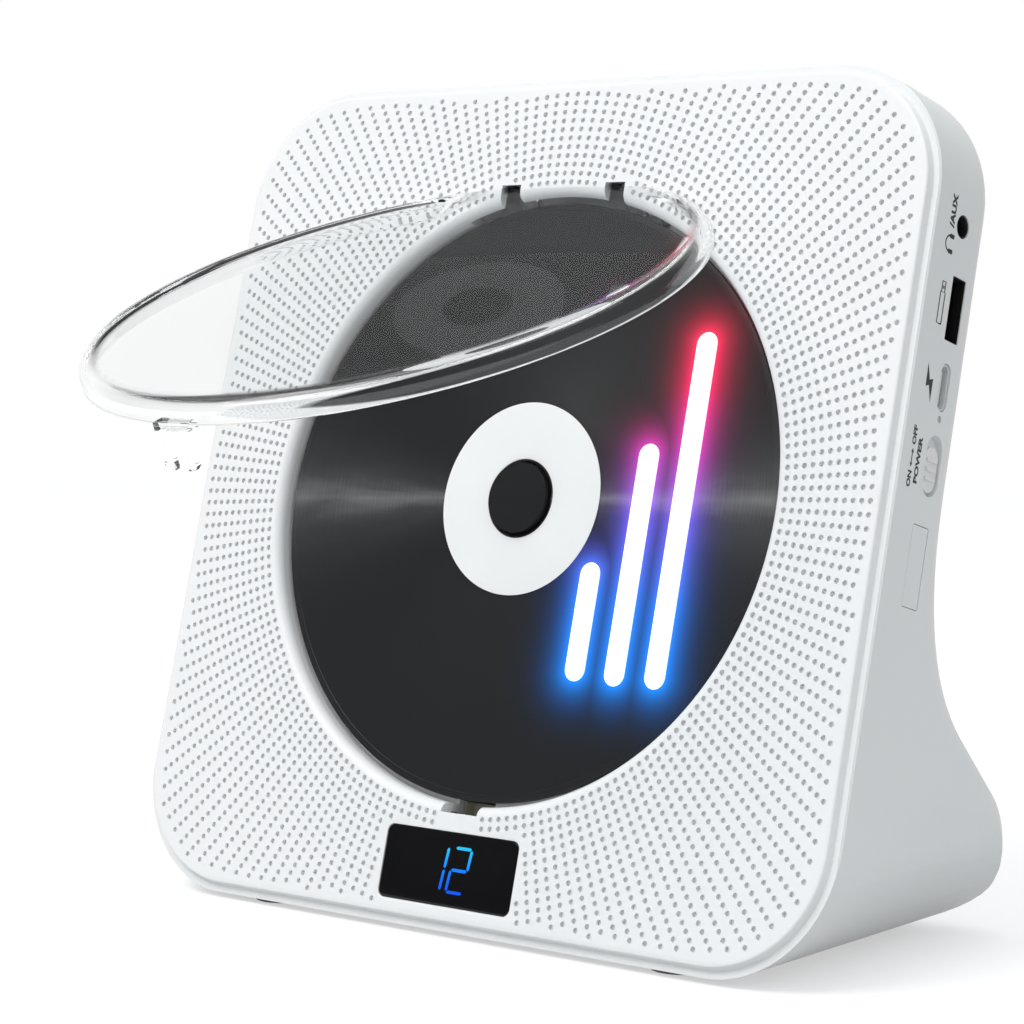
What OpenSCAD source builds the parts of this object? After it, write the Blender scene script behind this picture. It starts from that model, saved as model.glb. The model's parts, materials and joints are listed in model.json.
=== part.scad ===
// Disc player that stands on a flared foot and leans back, with a round clear lid over the disc.
// Panel frame: u to the right, v up the front panel, w out of it, from the middle of the disc.
// Part frame: +X right, +Y to the back, +Z up, origin under the middle of the part at rest.

/* [Case] */
// Side of the square front panel
panel_size = 168; // [162:1:180]
// Corner radius of the front panel
panel_corner = 24; // [18:1:30]
// Thickness of the front panel
panel_t = 2; // [1.6:0.1:2.4]
// Width of the housing rim that shows around the panel
ledge = 1.5; // [1:0.1:2.5]
// Height of the panel above the housing rim
panel_step = 1.5; // [1:0.1:1.6]
// Lean of the panel from upright, in degrees
lean = 15; // [12:0.5:18]
// Thickness of the upper body, from the panel face to the back
neck_depth = 21; // [20.6:0.2:24]
// Wall thickness of the rear housing
wall = 2.2; // [1.8:0.1:2.4]
// Depth of the panel's tongue inside the housing
tongue_depth = 4.5; // [3:0.1:5]

/* [Foot] */
// How far the foot reaches behind the middle of the disc, measured level
foot_back = 51.5; // [49:0.5:58]
// Height up the panel where the back starts to sweep out, above the disc's middle
sweep_start = 8.7; // [6:0.1:12]
// Radius of the hollow sweep from the back to the foot
sweep_r = 50; // [46:0.5:54]
// Radius of the foot's shoulder
shoulder_r = 14; // [10:0.5:16]
// Radius of the foot's rear bottom edge
heel_r = 9; // [6:0.5:9]
// Radius of the foot's upright rear corners
foot_corner = 12; // [8:0.5:14]
// Width of the bevel on the upper body's rear edges
neck_edge = 3; // [2:0.25:4]
// Radius of each rubber foot
pad_r = 6; // [4:0.5:8]
// Height that the rubber feet stand out
pad_h = 1.2; // [0.8:0.1:2]
// Sideways distance of the rubber feet from the middle
pad_u = 50; // [48.5:0.5:54]

/* [Disc and well] */
// Radius of the disc
disc_r = 60; // [60:0.1:60.2]
// Thickness of the disc
disc_t = 1.2; // [1.1:0.05:1.3]
// Radius of the disc's hole
disc_hole_r = 7.5; // [7.5:0.05:7.6]
// Depth of the disc's top face below the panel
disc_sink = 3; // [2.8:0.1:3.2]
// Radius of the well at the bottom of its lip
well_r = 61; // [60.9:0.1:61.3]
// Radius of the rounded lip of the well
lip_r = 2; // [1.6:0.1:2]
// Depth of the well floor below the panel
floor_depth = 5.3; // [5.2:0.1:5.6]
// Thickness of the well's floor and wall
well_t = 1.6; // [1.2:0.1:1.8]
// Radius of the hub that centres the disc
hub_r = 7; // [6.6:0.1:7.2]
// Height of the hub above the disc
hub_rise = 1.3; // [1:0.1:1.6]
// Radius of the turntable under the disc
table_r = 14; // [12:0.5:16]

/* [Lid] */
// Outer radius of the clear lid
lid_r = 60; // [59.6:0.1:60.1]
// Thickness of the lid
lid_t = 1.6; // [1.2:0.1:1.8]
// Depth of the lid's rim below the panel when closed
rim_sink = 2.3; // [2.1:0.1:2.4]
// Height of the lid's upper edge above the panel when closed
lid_rise = 2.4; // [2:0.1:3]
// Extra height of the crown in the middle of the lid
crown = 1.2; // [0.6:0.1:2]
// Radius of the lid's rounded upper edge
lid_edge = 3.1; // [2.6:0.1:3.4]
// Angle that the lid stands open, in degrees
lid_open = 54.9; // [50:0.1:56]
// Height of the lid's hinge above the disc's middle
hinge_v = 56.5; // [56:0.1:57]
// Depth of the lid's hinge below the panel
hinge_sink = 6.3; // [6.2:0.1:6.6]
// Radius of the hinge pin
pin_r = 0.7; // [0.6:0.05:0.8]
// Radius of the lid's hinge barrels
barrel_r = 1.5; // [1.3:0.05:1.6]
// Half width of the gap in the panel's lip at the hinge
lip_gap = 18; // [17:0.1:19]
// Length of the two latch prongs
prong_len = 8.2; // [7.6:0.1:8.3]
// Travel of the latch plunger
latch_travel = 1.2; // [0.8:0.1:1.3]

/* [Display] */
// Width of the display window
display_w = 33; // [30:0.5:36]
// Height of the display window
display_h = 14.4; // [13:0.1:14.6]
// Sideways place of the window's middle
display_u = -0.5; // [-2:0.1:2]
// Place of the window's middle below the disc's middle
display_v = -73.6; // [-73.7:0.1:-73]

/* [Right side] */
// Height of the headphone socket on the side
jack_v = 56.2; // [54.4:0.1:57]
// Radius of the headphone socket's bore
jack_r = 1.8; // [1.75:0.01:1.85]
// Height of the data port's middle
data_v = 40.9; // [39.5:0.1:42.5]
// Length of the data port's opening
data_len = 12; // [11.6:0.1:12.4]
// Height of the charge port's middle
charge_v = 26.4; // [26.2:0.1:27]
// Length of the charge port's shell
charge_len = 8.6; // [8.2:0.1:9]
// Height of the power switch's middle
switch_v = 11.8; // [11.4:0.1:12.2]
// Travel of the power slider
switch_travel = 2; // [1.6:0.1:2.4]
// Height of the blank side plate's middle
blank_v = -7; // [-7.4:0.1:-5]
// Length of the blank side plate
blank_len = 15.2; // [12:0.2:16]

/* [Top keys] */
// Distance between the top keys
key_pitch = 18; // [15:0.5:20]
// Length of a key
key_len = 12; // [8:0.5:13]
// Width of a key
key_w = 4.6; // [4:0.1:5]
// Height that the keys stand above the top
key_rise = 0.8; // [0.7:0.1:1.2]
// Travel of a key
key_travel = 0.6; // [0.4:0.05:0.6]

/* [Drive] */
// Travel of the laser pickup
sled_travel = 33; // [28:0.5:33]
// Radius of the two guide rods
rod_r = 1.5; // [1.2:0.05:1.6]
// Module of the gear teeth
tooth_m = 0.6; // [0.58:0.01:0.6]
// Radius of the spindle motor
motor_r = 11; // [9:0.5:11]
// Radius of the spindle shaft
shaft_r = 0.75; // [0.6:0.05:0.9]

/* [Inside] */
// Radius of a loudspeaker frame
speaker_r = 18.5; // [16:0.5:18.5]
// Depth of a loudspeaker frame
speaker_depth = 9; // [7:0.5:10]
// Radius of a battery cell
cell_r = 9.2; // [8:0.1:9.2]
// Length of a battery cell
cell_len = 65; // [60:0.5:65]

/* [Hidden] */
$fn = 64;
fit = 0.05;
gap = 0.3;
eps = 0.01;

// Case
half = panel_size / 2;
rim_half = half + ledge;
rim_corner = panel_corner + ledge;
base_z = -rim_half * cos(lean) - panel_step * sin(lean);
tongue_half = rim_half - wall - 0.2;
tongue_t = 1.5;
tongue_end = -55;
inner_back = wall - neck_depth;
foot_outline_r = rim_corner * cos(lean) + 0.3;
boss_places = [for (s = [-1, 1]) each [[s * (half - 10), half - 16], [s * (half - 8), -14]]];
boss_r = 3.5;
boss_end = -12.2;
screw_r = 1.45;
head_r = 2.8;
head_t = 2;
screw_seat = inner_back + 2.3;

// Disc stack
disc_top = -disc_sink;
disc_low = disc_top - disc_t;
table_t = 0.8;
floor_top = -floor_depth;
floor_low = floor_top - well_t;
hub_top = disc_top + hub_rise;

// Drive, below the well floor
damper_h = 2.1;
deck_top = floor_low - damper_h;
deck_t = 1.2;
deck_low = deck_top - deck_t;
deck_u = [-70, 24];
deck_v = 34;
deck_posts = [for (u = [-60, 17], v = [-27, 27]) [u, v]];
post_r = 2.4;
rod_v = 13.5;
rod_ends = [-69, -11.6];
rod_w = deck_low - 1.4;
pickup_rest = -24;
pickup_half = 9;
pickup_low = deck_low - 3.6;
lens_r = 2.7;
rack_teeth = 22;
rack_pitch_v = -18.9;
rack_t = 2;
rack_top = pickup_low + rack_t;
small_teeth = 12;
large_teeth = 36;
pinion_teeth = 10;
idler_u = -32;
idler_v = rack_pitch_v - small_teeth * tooth_m / 2;
gear_t = 1.6;
large_top = pickup_low - 0.6;
centre_gap = (large_teeth + pinion_teeth) * tooth_m / 2;
pinion_dir = -10;
pinion_u = idler_u + centre_gap * cos(pinion_dir);
pinion_v = idler_v + centre_gap * sin(pinion_dir);
idler_pin_r = 0.8;

// Lid and latch
hinge_w = -hinge_sink;
arm_u = [11, 15];
arm_out = lid_r + 0.9;
arm_in = arm_out - 1.6;
arm_drop = 2.2;
arm_low = hinge_w - barrel_r;
arm_edge = [arm_out - lid_edge, lid_rise - lid_edge];
lid_lift = 1.2;
reach = norm([arm_edge[0] - hinge_v, arm_edge[1] - hinge_w]) + lid_edge + 0.35;
notch_top = hinge_v + sqrt(reach * reach - hinge_w * hinge_w);
notch_low = hinge_v + sqrt(reach * reach - pow(panel_t + hinge_w, 2));
pocket_u = 24;
pocket_v = [hinge_v - 3.3, arm_out + 5.1];
pocket_low = hinge_w - norm([arm_out - hinge_v, barrel_r]) - 0.35;
pocket_wall = 1;
coil_u = [17.2, 22];
prong_v = -lid_r - 1.7;
prong_u = 2.4;
prong_w = 1.6;
prong_t = 1.2;
hook = 0.7;
prong_end = -rim_sink + 0.9 - prong_len;
latch_half = 8;
latch_v = [prong_v - 3.8, prong_v + 3.5];
latch_end = -15.8;
plunger_top = prong_end - 0.4;

// Right side, in heights up the panel and depths below it
port_w = -12.9;
jack_w = -11.3;
board_top = -15.95;
board_t = 1.6;
board_u = [34, half - 3];
board_v = [-4, 62];
side_in = rim_half - wall;
light_v = 20.5;
data_w = 4.8;
shell_t = 0.3;
charge_w = 3;
switch_len = 11.4;
switch_w = 5.4;
switch_sink = 1.3;
slider_len = 8.4;
blank_w = 5.6;
blank_sink = 0.8;

// Top keys
key_names = 5;
key_mid_w = -11;
key_flange = 1;
key_board_v = rim_half - wall - 7.2;
key_board_t = 1.2;

// Loudspeakers, battery and hanger
speaker_u = half - 22.5;
speaker_v = -half + 25.5;
magnet_r = 11;
cell_y = [12.4, 31.2];
cell_z = base_z + 12.6;
cradle_y = [1.2, 42.4];
cradle_wall = 1.8;
door_x = cell_len / 2 + 9.5;
door_y = [-0.8, 42];
door_t = 1.1;
door_screw_x = cell_len / 2 + 5.9;
hanger_v = 58;
hanger_head_r = 4.6;
hanger_slot_r = 2.2;
hanger_slot = 8;
pad_y = [-12, 36];

// Place of the panel frame, so that the origin is under the middle of the part at rest
lid_tip_v = hinge_v - (hinge_v + lid_r) * cos(lid_open) + (hinge_sink - rim_sink) * sin(lid_open);
lid_tip_w = hinge_w + (hinge_v + lid_r) * sin(lid_open) + (hinge_sink - rim_sink) * cos(lid_open);
front_y = lid_tip_v * sin(lean) - lid_tip_w * cos(lean);
middle_y = -(front_y + foot_back) / 2;
middle_z = pad_h - base_z;

// Frames
module upright() translate([0, middle_y, middle_z]) children();
module panel() upright() rotate([90 - lean, 0, 0]) children();
module on_lid() panel() translate([0, hinge_v, hinge_w]) rotate([-lid_open, 0, 0])
    translate([0, -hinge_v, -hinge_w]) children();
// u axis: an outline drawn in (v, w) is drawn out along u
module along_u(from, to) translate([from, 0, 0]) rotate([90, 0, 90]) linear_extrude(to - from) children();
// v axis: an outline drawn in (u, w) is drawn out along v
module along_v(from, to) translate([0, to, 0]) rotate([90, 0, 0]) linear_extrude(to - from) children();
module block(u, v, w) translate([u[0], v[0], w[0]]) cube([u[1] - u[0], v[1] - v[0], w[1] - w[0]]);
module post(r, w, place = [0, 0]) translate([place[0], place[1], w[0]]) cylinder(r = r, h = w[1] - w[0]);
module rod_u(r, u, v, w) translate([u[0], v, w]) rotate([0, 90, 0]) cylinder(r = r, h = u[1] - u[0]);

// Outlines
module round_square(h, r) round_box([-h, h], [-h, h], r);
module round_box(x, y, r) {
    translate([x[0] + r, y[0]]) square([x[1] - x[0] - 2 * r, y[1] - y[0]]);
    translate([x[0], y[0] + r]) square([x[1] - x[0], y[1] - y[0] - 2 * r]);
    for (px = [x[0] + r, x[1] - r], py = [y[0] + r, y[1] - r]) translate([px, py]) circle(r);
}
module slot_shape(len, w) {
    square([len - w, w], center = true);
    for (s = [-1, 1]) translate([s * (len - w) / 2, 0]) circle(w / 2);
}
function at(v, w) = [v * sin(lean) - w * cos(lean), v * cos(lean) + w * sin(lean)];
// Side view of the case, level and upright, drawn d inside its outer face
sweep_mid = at(sweep_start, -neck_depth - sweep_r);
shoulder_y = foot_back - shoulder_r;
ramp = shoulder_y + shoulder_r * cos(45) - sweep_mid[0] + sweep_r * cos(45);
shoulder_z = sweep_mid[1] - (sweep_r + shoulder_r) * sin(45) - ramp;
module side_shape(d, front) {
    edge = neck_edge - min(d, neck_edge - 0.5);
    hollow = sweep_r + d;
    shoulder = shoulder_r - d;
    difference() {
        union() {
            polygon([at(-rim_half * 1.2, front), at(rim_half - d, front), at(rim_half - d, d + edge - neck_depth),
                at(rim_half - d - edge, d - neck_depth), at(sweep_start, d - neck_depth),
                sweep_mid - hollow * [cos(45), sin(45)], [shoulder_y, shoulder_z] + shoulder * [cos(45), sin(45)],
                [foot_back - d, shoulder_z], [foot_back - d, base_z + heel_r], [foot_back - heel_r, base_z + d],
                [at(-rim_half, front)[0] - 20, base_z + d]]);
            translate(at(rim_half - d - edge, d + edge - neck_depth)) circle(edge);
            translate([shoulder_y, shoulder_z]) circle(shoulder);
            translate([foot_back - heel_r, base_z + heel_r]) circle(heel_r - d);
        }
        translate(sweep_mid) circle(hollow + eps / 2, $fn = 180);
    }
}
module side_solid(d, front) rotate([90, 0, 90]) translate([0, 0, -rim_half - 1])
    linear_extrude(2 * rim_half + 2) side_shape(d, front);

// Outer form of the case, or its hollow, in the upright frame: a slab above the sweep, a foot below it
module case_form(d, front) {
    side = rim_half - d - eps;
    intersection() {
        side_solid(d, front);
        rotate([90 - lean, 0, 0]) intersection() {
            translate([0, 0, -neck_depth - 2]) linear_extrude(neck_depth + 8) round_square(rim_half - d, rim_corner - d);
            along_v(sweep_start, rim_half) bevel_box(rim_half - d, d - neck_depth, neck_edge - d / 2);
        }
    }
    difference() {
        intersection() {
            side_solid(d, front);
            translate([0, 100, 0]) rotate([90, 0, 0]) linear_extrude(200)
                round_box([-side, side], [base_z + d, -base_z], foot_outline_r - d);
            translate([0, 0, base_z]) linear_extrude(panel_size)
                round_box([-side, side], [-60, foot_back - d], foot_corner - d);
            rotate([90 - lean, 0, 0]) translate([-rim_half, sweep_start - 200, -100]) cube([2 * rim_half, 200, 120]);
        }
        if (d == 0) sweep_bevel(1);
        if (d == 0) sweep_bevel(-1);
    }
}
module bevel_box(h, low, e) polygon([[-h, 20], [h, 20], [h, low + e], [h - e, low], [e - h, low], [-h, low + e]]);
// Bevels the edge between the sweep and one side, and on down the ramp below it
module sweep_bevel(s) translate([0, sweep_mid[0], sweep_mid[1]]) rotate([90, 0, 90]) {
    rotate([0, 0, 179 - lean]) rotate_extrude(angle = 46 + lean, $fn = 180) bevel_cut(s);
    rotate([0, 0, 225]) rotate([-90, 0, 0]) translate([eps / 2, 0, -1]) linear_extrude(25) bevel_cut(-s);
}
module bevel_cut(s) polygon([[sweep_r - 2, s * (rim_half - neck_edge - 2.02)], [sweep_r + neck_edge + 2, s * (rim_half + 1.98)],
    [sweep_r - 2, s * (rim_half + 1.98)]]);

// Panel and housing
module front_panel() color("white") panel() difference() {
    union() {
        translate([0, 0, -panel_step]) linear_extrude(panel_step) round_square(half, panel_corner);
        translate([0, 0, -panel_t]) linear_extrude(panel_t) round_square(tongue_half, rim_corner - wall - 0.2);
        difference() {
            translate([0, 0, -panel_step - tongue_depth]) linear_extrude(panel_step + tongue_depth - panel_t / 2)
                round_square(tongue_half, rim_corner - wall - 0.2);
            translate([0, 0, -10]) linear_extrude(20)
                round_square(tongue_half - tongue_t, rim_corner - wall - 0.2 - tongue_t);
            block([-rim_half, rim_half], [-rim_half, tongue_end], [-10, -panel_t]);
        }
        for (p = boss_places) post(boss_r, [boss_end, -panel_t / 2], p);
    }
    rotate_extrude() difference() {
        translate([0, -panel_t - 1]) square([well_r + lip_r, panel_t + 2]);
        translate([well_r + lip_r, -lip_r]) circle(lip_r);
    }
    translate([0, 0, -panel_t - 1]) linear_extrude(panel_t + 2)
        translate([display_u, display_v]) round_box([-display_w / 2, display_w / 2], [-display_h / 2, display_h / 2], 1.6);
    along_u(-lip_gap, lip_gap) polygon([[well_r - 12, 1], [well_r - 12, -panel_t - 1], [notch_low, -panel_t - 1],
        [notch_low, -panel_t], [notch_top, 0], [notch_top, 1]]);
    latch_slot();
    block([-rim_half, rim_half], [-rim_half, -tongue_half + 0.8], [-10, -panel_step]);
    for (p = boss_places) post(screw_r + fit, [boss_end - 1, -4], p);
}
module latch_slot() block([-prong_u - 2.1, prong_u + 2.1], [prong_v - 1.1, -well_r + 3], [-floor_depth - 4, 1]);

module rear_housing() color("gainsboro") upright() difference() {
    union() {
        difference() {
            case_form(0, -panel_step);
            case_form(wall, 4);
        }
        intersection() {
            rotate([90 - lean, 0, 0]) for (p = boss_places) post(boss_r + 0.7, [-2 * neck_depth, boss_end], p);
            case_form(wall / 2, 4);
        }
    }
    rotate([90 - lean, 0, 0]) {
        for (p = boss_places) {
            post(head_r + 0.4, [-2 * neck_depth, screw_seat], p);
            post(screw_r + 0.25, [-2 * neck_depth, 0], p);
        }
        side_holes();
        for (i = [0:key_names - 1]) along_v(side_in - 2, rim_half + 1) key_shape(i, 0.25);
        hanger();
    }
    translate([0, 0, base_z - 1]) {
        linear_extrude(1 + door_t + 0.1) round_box([-door_x - gap, door_x + gap], [door_y[0] - gap, door_y[1] + gap], 3);
        linear_extrude(6) square_hole();
        for (s = [-1, 1]) translate([s * door_screw_x, 22, 0]) cylinder(r = 1.2, h = 8);
    }
}
module square_hole() translate([-cell_len / 2 - 1, cradle_y[0] + cradle_wall])
    square([cell_len + 2, cradle_y[1] - cradle_y[0] - 2 * cradle_wall]);
module hanger() {
    post(hanger_head_r, [-neck_depth - 1, inner_back + 1], [0, hanger_v]);
    block([-hanger_slot_r, hanger_slot_r], [hanger_v, hanger_v + hanger_slot], [-neck_depth - 1, inner_back + 1]);
    post(hanger_slot_r, [-neck_depth - 1, inner_back + 1], [0, hanger_v + hanger_slot]);
}
module side_holes() {
    rod_u(jack_r + 0.4, [side_in - 1, rim_half + 1], jack_v, jack_w);
    block([side_in - 1, rim_half + 1], [data_v - data_len / 2, data_v + data_len / 2], [port_w - data_w / 2, port_w + data_w / 2]);
    side_cut(side_in - 1, charge_v) slot_shape(charge_len + 0.4, charge_w + 0.4);
    rod_u(0.7, [side_in - 1, rim_half + 1], light_v, port_w);
    side_cut(rim_half - switch_sink, switch_v) slot_shape(switch_len, switch_w);
    side_cut(side_in - 1, switch_v) slot_shape(6.4, 2.4);
    block([rim_half - blank_sink, rim_half + 1], [blank_v - blank_len / 2, blank_v + blank_len / 2], [port_w + 0.9 - blank_w / 2, port_w + 0.9 + blank_w / 2]);
}
module side_cut(from, v) along_u(from, rim_half + 1) translate([v, port_w]) children();

module disc_well() color("whitesmoke") panel() difference() {
    union() {
        rotate_extrude() {
            translate([well_r, floor_low]) square([well_t, -panel_t - floor_low]);
            translate([0, floor_low]) square([well_r + eps, well_t]);
            translate([well_r, -panel_t - 1.2]) square([4, 1.2]);
        }
        for (p = deck_posts) post(post_r, [deck_low - 0.2, floor_low + eps], p);
    }
    post(table_r + 2, [floor_low - 1, 0]);
    block([pickup_rest - sled_travel - lens_r - gap, 0], [-7, 7], [floor_low - 1, 0]);
    for (p = deck_posts) post(1.1, [deck_low - 1, floor_low + 0.4], p);
    block([-pocket_u, pocket_u], [pocket_v[0], 70], [-20, 0]);
    block([-pocket_u - pocket_wall - gap, pocket_u + pocket_wall + gap], [57.7, 70], [-20, 0]);
    latch_slot();
}

// Front display
module display_window() color("black") panel() translate([0, 0, -panel_t]) linear_extrude(panel_t - 0.1)
    translate([display_u, display_v])
        round_box([gap / 2 - display_w / 2, display_w / 2 - gap / 2], [gap / 2 - display_h / 2, display_h / 2 - gap / 2], 1.5);
module display_module() color("dimgray") panel()
    block([display_u - 13, display_u + 10], [display_v - 5.6, display_v + 5.6], [-panel_t - 3.6, -panel_t]);
module display_board() color("darkgreen") panel()
    block([display_u - 17, display_u + 17], [display_v - 7, display_v + 7], [-panel_t - 4.8, -panel_t - 3.6]);
module ir_receiver() color("black") panel() {
    block([display_u + 11.5, display_u + 15.5], [display_v - 3, display_v + 3], [-panel_t - 3.6, -panel_t - 1.6]);
    post(1.4, [-panel_t - 1.7, -panel_t - 0.2], [display_u + 13.5, display_v]);
}

// Board and side sockets
module main_board() color("darkgreen") panel() {
    block(board_u, board_v, [board_top - board_t, board_top]);
    block([40, 50], [14, 24], [board_top - eps, board_top + 1.4]);
    block([42, 48], [38, 46], [board_top - eps, board_top + 2]);
    for (v = [4, 52]) post(3, [board_top - eps, board_top + 4.5], [44, v]);
    for (u = [board_u[0] + 3, board_u[1] - 16], v = [board_v[0] + 3, board_v[1] - 3])
        post(1.8, [inner_back, board_top - board_t + eps], [u, v]);
}
module jack_socket() color("black") panel() difference() {
    block([side_in - 14.2, side_in - 0.2], [jack_v - 3.2, jack_v + 3.2], [board_top, jack_w + 2.9]);
    rod_u(jack_r, [side_in - 12.2, side_in + 1], jack_v, jack_w);
}
module data_port_shell() color("silver") panel() difference() {
    block([side_in - 14, side_in - 0.1], [data_v - data_len / 2 - shell_t, data_v + data_len / 2 + shell_t],
        [board_top, port_w + data_w / 2 + shell_t]);
    block([side_in - 13, side_in + 1], [data_v - data_len / 2, data_v + data_len / 2], [port_w - data_w / 2, port_w + data_w / 2]);
}
module data_port_tongue() color("black") panel()
    block([side_in - 13, side_in - 1.2], [data_v - 5.2, data_v + 5.2], [port_w - data_w / 2, port_w - 0.4]);
module charge_port_shell() color("silver") panel() {
    difference() {
        along_u(side_in - 6, rim_half - 0.3) translate([charge_v, port_w]) slot_shape(charge_len, charge_w);
        along_u(side_in - 5.4, rim_half + 1) translate([charge_v, port_w])
            slot_shape(charge_len - 2 * shell_t, charge_w - 2 * shell_t);
    }
    for (s = [-1, 1]) block([side_in - 5, side_in - 2], [charge_v + s * 2.8 - 0.7, charge_v + s * 2.8 + 0.7], [board_top, port_w - charge_w / 2 + 0.2]);
}
module charge_port_tongue() color("black") panel()
    block([side_in - 5.4, rim_half - 1], [charge_v - 3, charge_v + 3], [port_w - 0.35, port_w + 0.35]);
module charge_light() color("red") panel() {
    rod_u(0.6, [side_in - 2, rim_half - 0.3], light_v, port_w);
    block([side_in - 4, side_in - 1.9], [light_v - 0.8, light_v + 0.8], [board_top, port_w + 0.8]);
}
module switch_body() color("black") panel() difference() {
    block([side_in - 7.6, side_in - 0.1], [switch_v - 6.8, switch_v + 6.8], [board_top, port_w + 3]);
    along_u(side_in - 4.6, side_in + 1) translate([switch_v, port_w]) slot_shape(7.2, 2.6);
}
module side_blank() color("gainsboro") panel()
    block([rim_half - blank_sink, rim_half - 0.06], [blank_v - blank_len / 2 + 0.15, blank_v + blank_len / 2 - 0.15],
        [port_w + 1.05 - blank_w / 2, port_w + 0.75 + blank_w / 2]);
module power_slider() color("gainsboro") panel() translate([0, switch_v - 0.7, port_w]) {
    along_u(rim_half - switch_sink + 0.1, rim_half - 0.45) slot_shape(slider_len, switch_w - 0.8);
    along_u(side_in - 4, rim_half - switch_sink + 0.2) translate([-0.3, 0]) slot_shape(4, 1.8);
    for (i = [-1:1]) translate([rim_half - 0.46, i * 1.7, 0]) block([0, 0.36], [-0.3, 0.3], [-1.7, 1.7]);
}

// Battery, feet and fasteners
module battery_cells() color("steelblue") upright() for (y = cell_y)
    translate([-cell_len / 2, y, cell_z]) rotate([0, 90, 0]) cylinder(r = cell_r, h = cell_len);
module battery_cradle() color("dimgray") upright() difference() {
    union() {
        translate([-cell_len / 2 - 3, cradle_y[0], base_z + wall]) cube([cell_len + 6, cradle_y[1] - cradle_y[0], cell_z + cell_r + 2 - base_z - wall]);
        for (s = [-1, 1]) translate([s * door_screw_x, 22, base_z + wall]) cylinder(r = 3, h = 8);
    }
    translate([-cell_len / 2 - 1, cradle_y[0] + cradle_wall, base_z])
        cube([cell_len + 2, cradle_y[1] - cradle_y[0] - 2 * cradle_wall, cell_z + cell_r + 0.3 - base_z]);
    for (s = [-1, 1]) translate([s * door_screw_x, 22, base_z]) cylinder(r = 1, h = wall + 6);
}
module battery_door() color("gainsboro") upright() difference() {
    translate([0, 0, base_z]) linear_extrude(door_t) round_box([-door_x, door_x], door_y, 3);
    for (s = [-1, 1]) translate([s * door_screw_x, 22, base_z - 1]) {
        cylinder(r = 1.2, h = 4);
        cylinder(r = 2, h = 1.6);
    }
}
module door_screws() color("silver") upright() for (s = [-1, 1]) translate([s * door_screw_x, 22, base_z + 0.6]) difference() {
    union() {
        translate([0, 0, -0.5]) cylinder(r = 1.8, h = 0.5);
        cylinder(r = 0.95, h = wall + 4.5);
    }
    cross_cut(0.9, -0.6, 0.3);
}
module cross_cut(r, low, deep) for (a = [0, 90]) rotate([0, 0, a]) translate([-r, -0.25, low]) cube([2 * r, 0.5, deep + 0.1]);
module case_screws() color("silver") panel() for (p = boss_places) difference() {
    union() {
        post(head_r, [screw_seat - head_t, screw_seat], p);
        post(screw_r, [screw_seat - eps, -5], p);
    }
    translate([p[0], p[1], 0]) cross_cut(1.7, screw_seat - head_t - 0.1, 1.1);
}
module rubber_feet() color("dimgray") upright() for (x = [-pad_u, pad_u], y = pad_y)
    translate([x, y, base_z - pad_h]) cylinder(r = pad_r, h = pad_h);

// Loudspeakers
module speaker_place(s) panel() translate([s * speaker_u, speaker_v, -panel_t]) children();
module speaker_frame(s) color("black") speaker_place(s) rotate_extrude() difference() {
    polygon([[magnet_r - 1, -speaker_depth], [speaker_r - 3, -4], [speaker_r - 3, -1.2], [speaker_r, -1.2], [speaker_r, 0],
        [speaker_r - 2.6, 0], [speaker_r - 2.6, -0.7], [speaker_r - 4.2, -1.7], [speaker_r - 4.2, -3.6], [magnet_r - 3, -speaker_depth + 1.4], [4, -speaker_depth + 1.4],
        [4, -speaker_depth]]);
    square(0.1);
}
module speaker_cone(s) color("darkslategray") speaker_place(s) rotate_extrude()
    polygon([[0, -3.2], [4, -4], [speaker_r - 6.8, -1.9], [speaker_r - 4.9, -0.9], [speaker_r - 2.7, -0.6], [speaker_r - 2.7, -0.3],
        [speaker_r - 5.2, -0.3], [speaker_r - 7.2, -1.1], [4, -2.6], [0, -1.8]]);
module speaker_magnet(s) color("gray") speaker_place(s) {
    translate([0, 0, -speaker_depth - 7]) cylinder(r = magnet_r, h = 7);
    translate([0, 0, -speaker_depth - eps]) cylinder(r = 3.6, h = speaker_depth - 4.4);
}

// Top keys
key_pos = [for (i = [0:key_names - 1]) (i - (key_names - 1) / 2) * key_pitch];
module key_shape(i, grow) translate([key_pos[i], key_mid_w]) slot_shape(key_len + 2 * grow, key_w + 2 * grow);
module key(i) color("gainsboro") panel() {
    along_v(side_in - 1.8, rim_half + key_rise) key_shape(i, 0);
    along_v(side_in - 2, side_in - 0.4) key_shape(i, key_flange);
    along_v(side_in - 2.5, side_in - 1.9) translate([key_pos[i], key_mid_w]) circle(1.6);
}
module key_board() color("darkgreen") panel() {
    block([-2.4 * key_pitch, 2.4 * key_pitch], [key_board_v, key_board_v + key_board_t], [-16, -7]);
    for (s = [-1, 1]) block([s * 2.3 * key_pitch - 2, s * 2.3 * key_pitch + 2], [key_board_v, side_in], [-16.9, -15.9]);
}
module key_switches() color("black") panel() for (u = key_pos) {
    block([u - 3, u + 3], [key_board_v + key_board_t, key_board_v + key_board_t + 2.4], [key_mid_w - 3, key_mid_w + 3]);
    along_v(key_board_v + key_board_t + 2.3, side_in - 2.5 - key_travel - 0.1) translate([u, key_mid_w]) circle(1.5);
}

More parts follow.
